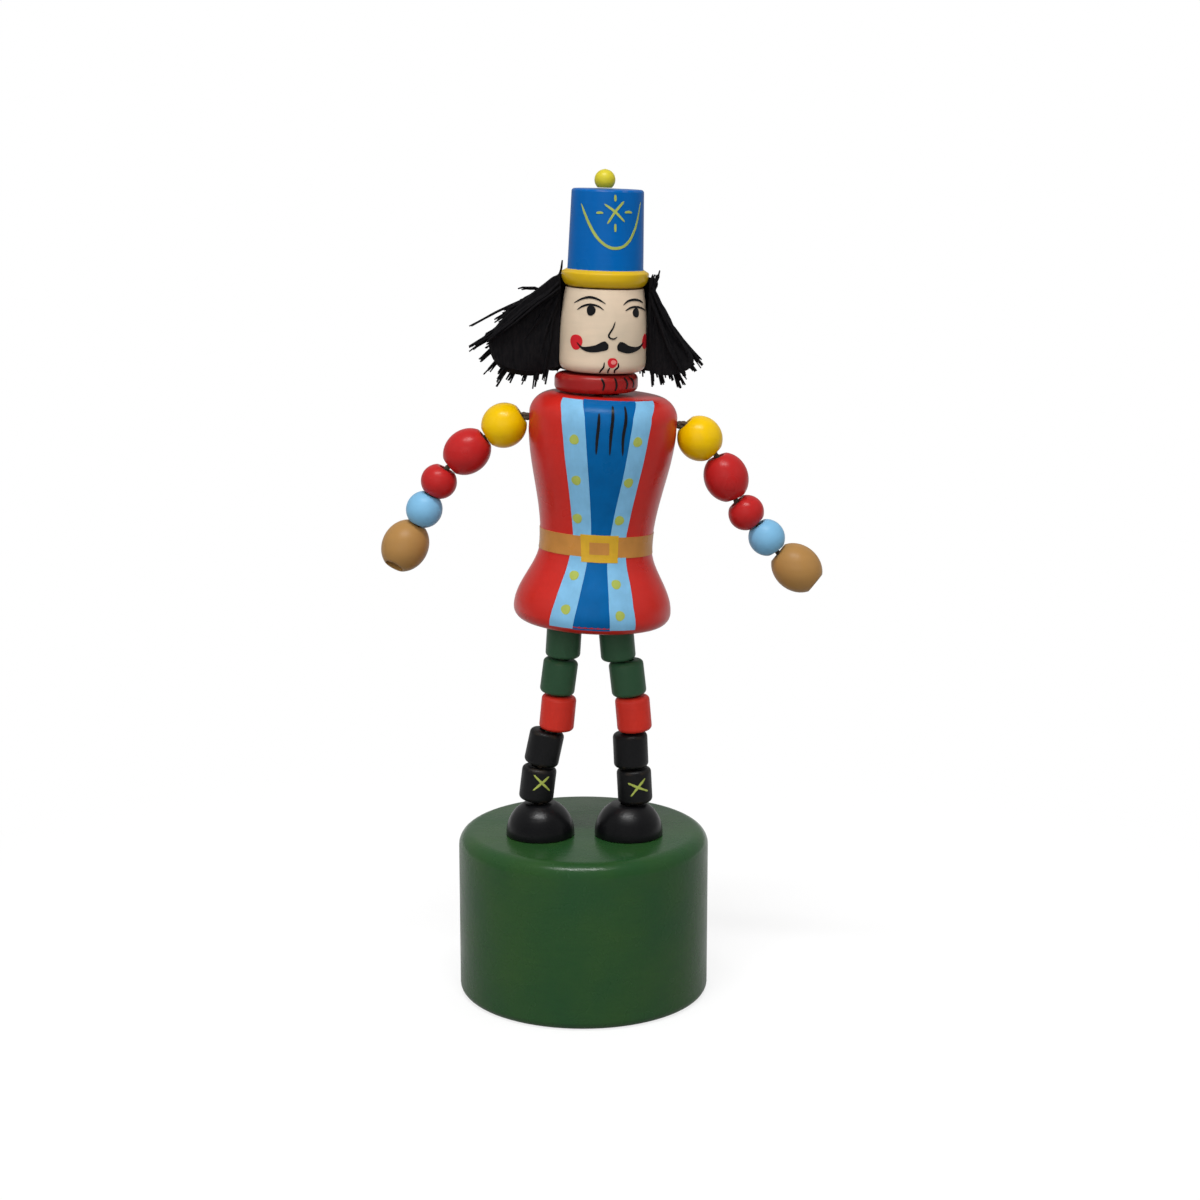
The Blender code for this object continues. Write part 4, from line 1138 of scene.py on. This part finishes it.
class PUPPET_OT_hat(Operator):
    """Turns the tall blue hat with its yellow brim and ball, and paints its braid and star"""

    bl_idname = "puppet.hat"
    bl_label = "Hat"

    def execute(self, context):
        hue = colours()
        seat, brim, tall = seat_of("hat", HEAD_LEAN)
        outer = [(0, 0), (BRIM_UNDER_RADIUS, 0)]
        outer += arc((BRIM_UNDER_RADIUS, BRIM_EDGE_HEIGHT), (brim - BRIM_UNDER_RADIUS, BRIM_EDGE_HEIGHT),
                     -math.pi / 2, 0, 10)[1:]
        outer += filleted([(brim, 0, 0), (brim, BRIM_EDGE_HEIGHT + BRIM_LIP, BRIM_LIP_ROUND),
                           (CROWN_FOOT_RADIUS, BRIM_HEIGHT, CROWN_FOOT_ROUND),
                           (CROWN_TOP_RADIUS, tall, CROWN_ROUND), (0, tall, 0)], 6)[1:]
        shape = spun(outer)
        for face in shape.faces:
            face.material_index = int(face.calc_center_median().z < BRIM_HEIGHT - BRIM_PAINT_GAP)
        blue = enamel("hat_enamel", hue.hat_blue, 0.30, shine=0.1)
        yellow = enamel("brim_enamel", hue.brim, 0.32)
        hat = add_piece("tall_hat", shape, [blue, yellow], seat)
        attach(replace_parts(hat, "hat"), "head")
        side = Turning(seat, outer[1:-1])
        braid = Brushwork(side, 1.6)
        braid.stroke(((-45, 14.0), (-35, 12.0), (-26, 10.3), (-16, 8.7), (-6, 7.6), (5, 6.9), (15.5, 6.75),
                      (27, 7.1), (37, 8.0), (45, 9.3), (52, 10.8), (63, 14.4)),
                     (0.30, 0.42, 0.48, 0.48, 0.46, 0.48, 0.48, 0.46, 0.46, 0.44, 0.40, 0.26))
        for line in (((-5, 14.05), (12, 12.8), (28, 11.15)), ((26, 14.55), (12, 12.75), (0.6, 10.75)),
                     ((11.7, 15.6), (11.8, 15.0), (11.9, 14.5)), ((12.9, 10.8), (13.0, 10.1), (13.2, 9.45)),
                     ((-17, 12.5), (-11.5, 12.6), (-6, 12.55)), ((28, 12.7), (34, 12.8), (41, 12.7))):
            braid.stroke(line, (0.30, 0.42, 0.26), wave=0.12)
        braid.finish("hat_braid", line_paint("braid_paint", hue.braid), "head")
        seat, radius, tall = seat_of("pompom", HEAD_LEAN)
        start = -math.acos(POMPOM_SEAT_RADIUS / radius)
        ball = arc((0, -radius * math.sin(start)), (radius, radius), start, math.pi / 2, 20)
        shape = spun([(0, 0), *ball[:-1], (0, tall)])
        paint = enamel("ball_enamel", hue.pompom, 0.36)
        pompom = add_piece("hat_ball", shape, [paint], seat)
        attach(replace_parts(pompom, "pompom"), "head")
        return {"FINISHED"}


def strands(name, paths, radius, material):
    """Tubes along many paths, thinner at their tips, as one mesh."""
    curve = bpy.data.curves.new(name, "CURVE")
    curve.dimensions = "3D"
    curve.bevel_depth = radius
    curve.bevel_resolution = 1
    curve.use_fill_caps = True
    for path, thick in paths:
        spline = curve.splines.new("POLY")
        spline.points.add(len(path) - 1)
        for k, (point, place) in enumerate(zip(spline.points, path)):
            point.co = (*place, 1)
            point.radius = thick * (1 - 0.45 * (k / (len(path) - 1)) ** 3)
    holder = bpy.data.objects.new(name, curve)
    bpy.context.scene.collection.objects.link(holder)
    graph = bpy.context.evaluated_depsgraph_get()
    mesh = bpy.data.meshes.new_from_object(holder.evaluated_get(graph))
    bpy.data.objects.remove(holder)
    bpy.data.curves.remove(curve)
    shape = bmesh.new()
    shape.from_mesh(mesh)
    bpy.data.meshes.remove(mesh)
    return add_piece(name, shape, [material], Matrix.Identity(4))


def hair_outline(angle):
    """The yarn's outline at an angle from the front, blended from its sides and its back."""
    side = HAIR_OUTLINES["left" if math.sin(angle) < 0 else "right"]
    share = math.sin(angle) ** 2
    return [Vector(one).lerp(Vector(other), share) for one, other in zip(HAIR_OUTLINES["back"], side)]


def hair_spot(angle, point, top):
    """A point of the yarn in the head's frame, from its mm out from the axis and above the head's top."""
    spot = Vector((point.x * math.sin(angle), -point.x * math.cos(angle), point.y)) / 1000
    return spot + Vector((0, 0, top))


def hair_core(top):
    """The dense mass under the loose strands: a closed fringe from one temple round to the other."""
    shape = bmesh.new()
    along, around = 60, 40
    sheet = bmesh.ops.create_grid(shape, x_segments=along, y_segments=around, size=1)["verts"]
    start, end = HAIR_START + HAIR_CORE_INSET, HAIR_END - HAIR_CORE_INSET
    angles = [math.radians(start + (end - start) * k / along) for k in range(along + 1)]
    loops = []
    for angle in angles:
        ragged = sum(size * math.sin(angle * count) for size, count in HAIR_WAVES)
        loop = [Vector((HAIR_INNER, HAIR_UNDERSIDE)), Vector((HAIR_INNER, HAIR_CROWN))]
        for point in hair_outline(angle):
            wide = HAIR_INNER + (point.x - HAIR_INNER) * HAIR_CORE_SHARE
            loop.append(Vector((wide, point.y * HAIR_CORE_SHARE + ragged * abs(point.y) / 16)))
        loops.append(smooth_line([*loop, loop[0]], around))
    for vert in sheet:
        k = round((vert.co.x + 1) / 2 * along)
        j = round((vert.co.y + 1) / 2 * around)
        vert.co = hair_spot(angles[k], loops[k][j], top)
    bmesh.ops.remove_doubles(shape, verts=shape.verts, dist=MERGE_DISTANCE)
    close_holes(shape)
    return shape


class PUPPET_OT_hair(Operator):
    """Glues a fringe of ragged black yarn round the back of the head"""

    bl_idname = "puppet.hair"
    bl_label = "Yarn hair"

    def execute(self, context):
        chance = random.Random(HAIR_SEED)
        yarn = yarn_material()
        seat, _, top = seat_of("head", HEAD_LEAN)
        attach(add_piece("hair_core", hair_core(top), [yarn], seat), "head")
        paths = []

        def fibre(start, end, root, tip, arch, thick, crimp):
            """One strand between two points of the outline's plane, drifting from one turn to another."""
            span = tip - root
            bend = (root + tip) / 2 + Vector((-span.y, span.x)) * arch
            path = []
            for k in range(7):
                t = k / 6
                place = root * (1 - t) ** 2 + bend * 2 * t * (1 - t) + tip * t * t
                place += Vector((chance.uniform(-crimp, crimp), chance.uniform(-crimp, crimp)))
                angle = math.radians(start + (end - start) * t)
                path.append(seat @ hair_spot(angle, place, top))
            paths.append((path, thick))

        def tuft(turn, tip, drop, count):
            """A few strands that gather towards one tip, hollow down the head's right side."""
            hollow = -0.07 * max(0, math.sin(math.radians(turn)))
            for _ in range(count):
                out = HAIR_INNER + chance.uniform(0.2, 0.7)
                root = Vector((out, 1.0 - 2.6 * drop + chance.uniform(-0.4, 0.3)))
                reach = root + (tip - root) * chance.uniform(0.91, 1.02)
                reach += Vector((chance.gauss(0, 0.22), chance.gauss(0, 0.22)))
                fibre(turn + chance.gauss(0, 3.5), turn + chance.gauss(0, 1.0), root, reach,
                      hollow + chance.uniform(-0.02, 0.05), chance.uniform(0.85, 1.2), 0.15)

        strand_tufts = sizes().strand_count // TUFT_STRANDS
        for k in range(strand_tufts):
            turn = HAIR_START + (HAIR_END - HAIR_START) * (k + chance.random()) / strand_tufts
            share = chance.random() ** 0.8
            tip = smooth_line(hair_outline(math.radians(turn))[3:], 30)[round(share * 30)]
            tuft(turn, tip * chance.uniform(0.92, 1.04), share, TUFT_STRANDS)
        for turn, tip in HAIR_LOCKS:
            tuft(turn, Vector(tip), -tip[1] / 17, LOCK_STRANDS)
        for turn, root, tip, bend in HAIR_STRAYS:
            fibre(turn, turn, Vector(root), Vector(tip), bend, 1.0, 0.09)
        hair = strands("yarn_strands", paths, sizes().strand_radius, yarn)
        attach(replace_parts(hair, "hair"), "head")
        return {"FINISHED"}


def carried_frames(path):
    """A frame at each point of a path, its Z along the path, turned as little as possible on the way."""
    last = len(path) - 1
    ahead = [(path[min(k + 1, last)] - path[max(k - 1, 0)]).normalized() for k in range(len(path))]
    across = ahead[0].orthogonal().normalized()
    frames = []
    for k, along in enumerate(ahead):
        if k:
            across.rotate(ahead[k - 1].rotation_difference(along))
        other = along.cross(across)
        frames.append(Matrix.Translation(path[k]) @ Matrix((across, other, along)).transposed().to_4x4())
    return frames


def ply_cord(name, points, material, thick=1.0):
    """A three-ply twisted cord along a smooth line through the points."""
    span = sum((b - a).length for a, b in zip(points, points[1:]))
    radius = sizes().cord_radius * thick
    count = max(4, round(span / CORD_STEP))
    frames = carried_frames(smooth_line(points, count))
    shape = bmesh.new()
    bmesh.ops.create_circle(shape, cap_ends=True, segments=12, radius=1)
    loop = list(shape.edges)
    for _ in range(count):
        made = bmesh.ops.extrude_edge_only(shape, edges=loop)["geom"]
        rim = [item for item in made if isinstance(item, bmesh.types.BMVert)]
        bmesh.ops.translate(shape, verts=rim, vec=(0, 0, 1))
        top = set(rim)
        loop = [item for item in made if isinstance(item, bmesh.types.BMEdge) and set(item.verts) <= top]
    bmesh.ops.holes_fill(shape, edges=loop, sides=0)
    for vert in shape.verts:
        k = round(vert.co.z)
        angle = math.atan2(vert.co.y, vert.co.x)
        reach = radius * (1 - PLY_GROOVE + PLY_GROOVE * math.cos(3 * angle))
        angle += math.tau * span * k / count / sizes().cord_lay
        vert.co = frames[k] @ Vector((reach * math.cos(angle), reach * math.sin(angle), 0))
    return add_piece(name, shape, [material], Matrix.Identity(4))


def overhand_knot(name, middle, along, material):
    """A pulled-tight knot: the cord laid in a trefoil about its own line."""
    turn = along.to_track_quat("Z", "Y").to_matrix()
    points = []
    for k in range(25):
        t = math.tau * k / 24
        loop = Vector((math.sin(t) + 2 * math.sin(2 * t), math.cos(t) - 2 * math.cos(2 * t),
                       -1.6 * math.sin(3 * t)))
        points.append(middle + turn @ loop * KNOT_SCALE)
    return ply_cord(name, points, material)


# Where a cord meets a body: a point inside it, and the cord's ways out of it and into it.
Stop = namedtuple("Stop", "body middle out into")


def between(one, other, share):
    return one + (other - one) * share


def limb_stops(side, names, seat_finder):
    """The stops at the beads of one limb."""
    stops = []
    for name in names:
        seat, _, length = seat_finder(side, name)
        middle, out = [seat @ Vector((0, 0, length * share)) for share in (0.5, 1)]
        stops.append(Stop(f"{side}_{name}", middle, out, seat.translation))
    return stops


def split_link(near_name, far_name, one, other, overlaps, cotton, onward=()):
    """A link in two halves, one on each body, where one blended piece can't follow the joint."""
    ahead, behind = overlaps
    near = ply_cord(near_name, [one.middle, one.out, between(other.into, other.middle, ahead)], cotton)
    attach(near, one.body)
    points = [between(one.out, one.middle, behind), other.into, other.middle, *onward]
    far = ply_cord(far_name, points, cotton, OVERLAP_THICKNESS)
    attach(far, other.body)


class PUPPET_OT_cords(Operator):
    """Strings the puppet: a cord from the button up each leg to the other hand, and a loop in the neck"""

    bl_idname = "puppet.cords"
    bl_label = "Cords"

    def execute(self, context):
        cotton = cord_material()
        coat, _, tall = seat_of("torso", TORSO_LEAN)
        chest = tall - SHOULDER_DROP
        for side, sign in SIDES.items():
            foot = self.base(side, cotton)
            hip = Stop("torso", coat @ Vector((sign * HIP_X, 0, HIP_CORD_END)), None,
                       coat @ Vector((sign * HIP_X, 0, 0)))
            self.leg(side, [foot, *limb_stops(side, LEG_NAMES, leg_seat), hip], cotton)
            wall = self.crossing(side, sign, coat, chest, cotton)
            self.arm(side, "right" if side == "left" else "left", wall, cotton)
        self.neck(cotton, coat, chest, tall)
        return {"FINISHED"}

    def base(self, side, cotton):
        """The stretch in the base, made at one length, and the knot in the button."""
        height = base_frame()[2]
        foot, _, foot_tall = seat_of(side + "_foot", 0)
        x, y, _ = foot.translation
        low = Vector((x, y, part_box("push_button")[0][2] + BUTTON_KNOT_HEIGHT))
        high = Vector((x, y, height + foot_tall / 2))
        run = ply_cord(side + "_cord_in_base", [low, (low + high) / 2, high], cotton)
        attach(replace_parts(run, side + "_leg_cord"), "base")
        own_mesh(run)
        seat = low - Vector((0, 0, BUTTON_KNOT_DROP))
        knot = overhand_knot(side + "_button_knot", seat, Vector((0, 0, 1)), cotton)
        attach(knot, "push_button")
        return Stop("base", high, Vector((x, y, height + foot_tall)), None)

    def leg(self, side, stops, cotton):
        """The links from a foot up to the coat, with the opened pivot below the knee in two halves."""
        for one, other in zip(stops, stops[1:]):
            label = f"{side}_cord_{other.body}"
            if other.body.endswith("knee"):
                split_link(label + "_low", label, one, other, KNEE_OVERLAPS, cotton)
                continue
            link = ply_cord(label, [one.middle, one.out, other.into, other.middle], cotton)
            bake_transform(link)

    def crossing(self, side, sign, coat, chest, cotton):
        """The stretch in the coat, from one hip to the other shoulder, past the other side's cord."""
        off = CORD_OFFSET * sign
        inside = [coat @ Vector((sign * HIP_X, off * share, rise))
                  for share, rise in ((0, COAT_CORD_START), (1, COAT_CORD_RISE))]
        inside += [coat @ Vector((sign * (HIP_X - CORD_BEND * bend), off, chest - CORD_BEND * drop))
                   for bend, drop in ((0, 1), (0.3, 0.3), (1, 0))]
        inside.append(coat @ Vector((0, off, chest)))
        inside.append(coat @ Vector((-sign * CHEST_RADIUS * 0.6, off * 0.5, chest)))
        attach(ply_cord(side + "_cord_in_coat", inside, cotton), "torso")
        return Stop("torso", inside[-1], coat @ Vector((-sign * CHEST_RADIUS, 0, chest)), None)

    def arm(self, side, far, wall, cotton):
        """The links along the other side's arm, in halves that ride on its beads, and the hand's knot."""
        stops = [wall, *limb_stops(far, ARM_NAMES, arm_seat)]
        seat, _, length = arm_seat(far, "hand")
        floor, mouth = [seat @ point for point in hand_pocket(far, length)]
        for one, other in zip(stops, stops[1:]):
            label = f"{side}_cord_{other.body}"
            onward = [floor] if other is stops[-1] else []
            split_link(label + "_near", label, one, other, ARM_OVERLAPS, cotton, onward)
        along = (mouth - floor).normalized()
        knot = overhand_knot(f"{side}_cord_hand_knot", floor + along * HAND_KNOT_LIFT, along, cotton)
        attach(knot, f"{far}_hand")

    def neck(self, cotton, coat, chest, tall):
        """Two strands of the neck loop, hooked under the crossing cords and led up into the head's pocket.
        """
        collar, _, collar_tall = seat_of("collar", COLLAR_LEAN)
        head, _, head_tall = seat_of("head", HEAD_LEAN)
        rise = chest + NECK_LOOP_LIFT
        bend = arc((0, rise), (NECK_LOOP_RADIUS, NECK_LOOP_RADIUS), -math.pi, 0, 4)
        hook = ply_cord("neck_loop", [coat @ Vector((0, y, z)) for y, z in bend], cotton)
        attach(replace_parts(hook, "neck_cord"), "torso")
        for label, y in (("front", -CORD_OFFSET), ("back", CORD_OFFSET)):
            deep = coat @ Vector((0, y * 2.8, rise))
            top = coat @ Vector((-CORD_OFFSET, y, tall))
            collar_low, collar_mid, collar_top = [
                collar @ Vector((0, y, collar_tall * share)) for share in (0, 0.5, 1)]
            head_low = head @ Vector((0, y, 0))
            head_mid = head @ Vector((0, y, head_tall / 3))
            lower = ply_cord("neck_cord_low_" + label, [deep, top, collar_low, collar_mid], cotton)
            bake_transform(lower)
            upper = ply_cord("neck_cord_high_" + label, [collar_mid, collar_top, head_low, head_mid],
                             cotton)
            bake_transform(upper)
            seat = head @ Vector((0, y * 2, head_tall - POCKET_DEPTH + HEAD_KNOT_LIFT))
            rest = ply_cord("neck_cord_top_" + label, [head_mid, (head_mid + seat) / 2, seat], cotton)
            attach(rest, "head")


def floor_material(middle):
    """A pale floor, lifted to white where it is seen, that keeps the puppet's shadow near its foot."""
    floor = Finish("pale_floor")
    floor.set("Base Color", (FLOOR_GREY, FLOOR_GREY, FLOOR_GREY, 1))
    floor.set("Roughness", 0.9)
    floor.set("Specular IOR Level", 0.0)
    floor.set("Emission Color", (1, 1, 1, 1))
    behind = floor.spread(floor.depth(floor.coords()), FLOOR_SHINE_FRONT, FLOOR_SHINE_BACK, -0.05, 0.25)
    floor.set("Emission Strength", floor.calc("MULTIPLY", floor.ray_share(behind), FLOOR_LIFT))
    spot = floor.nodes.new("ShaderNodeVectorMath")
    spot.operation = "DISTANCE"
    floor.put(spot.inputs[0], floor.coords())
    floor.put(spot.inputs[1], (middle, 0, 0))
    far = floor.spread(spot.outputs["Value"], 0.0, 1.0, *FLOOR_SHADOW)
    seen = floor.nodes.new("ShaderNodeLightPath").outputs["Is Camera Ray"]
    blend = floor.nodes.new("ShaderNodeMixShader")
    floor.put(blend.inputs[0], floor.calc("MULTIPLY", far, seen))
    floor.put(blend.inputs[1], floor.shader.outputs[0])
    floor.put(blend.inputs[2], floor.nodes.new("ShaderNodeEmission").outputs[0])
    floor.put(floor.nodes["Material Output"].inputs["Surface"], blend.outputs[0])
    return floor.material


def studio_world():
    """White where the camera looks, and a soft light that is brighter behind the puppet than before it."""
    world = bpy.data.worlds.new("studio")
    world.use_nodes = True
    sky = Wiring(world.node_tree)
    ambient = sky.spread(sky.depth(sky.coords("Generated")), WORLD_FRONT, WORLD_BACK, -0.6, 0.6)
    light = sky.nodes["Background"].inputs
    sky.put(light["Color"], (1, 1, 1, 1))
    sky.put(light["Strength"], sky.calc("MAXIMUM", ambient, sky.ray_share(ambient)))
    return world


class PUPPET_OT_stage(Operator):
    """Sets the pale floor, the soft lights and the camera"""

    bl_idname = "puppet.stage"
    bl_label = "Stage"

    def execute(self, context):
        scene = context.scene
        middle = base_frame()[0]
        shape = bmesh.new()
        bmesh.ops.create_grid(shape, x_segments=8, y_segments=8, size=FLOOR_SIZE)
        sheet = bpy.data.meshes.new("floor")
        shape.to_mesh(sheet)
        shape.free()
        sheet.materials.append(floor_material(middle))
        floor = bpy.data.objects.new("floor", sheet)
        scene.collection.objects.link(floor)
        scene.world = studio_world()
        aim = Vector((middle, 0, AIM_HEIGHT))
        for name, place, wide, deep, power, mirrored in LAMPS:
            data = bpy.data.lights.new(name, "AREA")
            data.shape = "RECTANGLE"
            data.size = wide
            data.size_y = deep
            data.energy = power
            lamp = bpy.data.objects.new(name, data)
            lamp.visible_glossy = mirrored
            lamp.location = place
            lamp.rotation_euler = (aim - lamp.location).to_track_quat("-Z", "Y").to_euler()
            scene.collection.objects.link(lamp)
        lens = bpy.data.cameras.new("camera")
        lens.lens = CAMERA_LENS
        lens.sensor_width = CAMERA_SENSOR
        lens.sensor_fit = "HORIZONTAL"
        lens.clip_start = 0.01
        lens.clip_end = 10
        camera = bpy.data.objects.new("camera", lens)
        camera.location = (middle + CAMERA_SIDE, -CAMERA_AWAY, CAMERA_HEIGHT)
        camera.rotation_euler = (math.pi / 2 - CAMERA_DIP, 0, 0)
        scene.collection.objects.link(camera)
        scene.camera = camera
        scene.view_settings.view_transform = "Standard"
        return {"FINISHED"}


OPERATORS = (PUPPET_OT_base, PUPPET_OT_button, PUPPET_OT_legs, PUPPET_OT_coat, PUPPET_OT_collar,
             PUPPET_OT_head, PUPPET_OT_hat, PUPPET_OT_hair, PUPPET_OT_arms, PUPPET_OT_cords,
             PUPPET_OT_stage)


class PUPPET_PT_looks(Panel):
    """The puppet's pieces, in the order in which they are made"""

    bl_idname = "PUPPET_PT_looks"
    bl_label = "Push puppet"
    bl_space_type = "VIEW_3D"
    bl_region_type = "UI"
    bl_category = "Puppet"

    def draw(self, context):
        for operator in OPERATORS:
            self.layout.operator(operator.bl_idname)
        for group in (context.scene.puppet_sizes, context.scene.puppet_colours):
            for label in group.__annotations__:
                self.layout.prop(group, label)


CLASSES = (PuppetSizes, PuppetColours, *OPERATORS, PUPPET_PT_looks)


def register():
    for made in CLASSES:
        bpy.utils.register_class(made)
    bpy.types.Scene.puppet_sizes = PointerProperty(type=PuppetSizes)
    bpy.types.Scene.puppet_colours = PointerProperty(type=PuppetColours)


def unregister():
    del bpy.types.Scene.puppet_colours
    del bpy.types.Scene.puppet_sizes
    for made in reversed(CLASSES):
        bpy.utils.unregister_class(made)


def main():
    register()
    for operator in OPERATORS:
        group, name = operator.bl_idname.split(".")
        getattr(getattr(bpy.ops, group), name)()


if __name__ == "__main__":
    main()
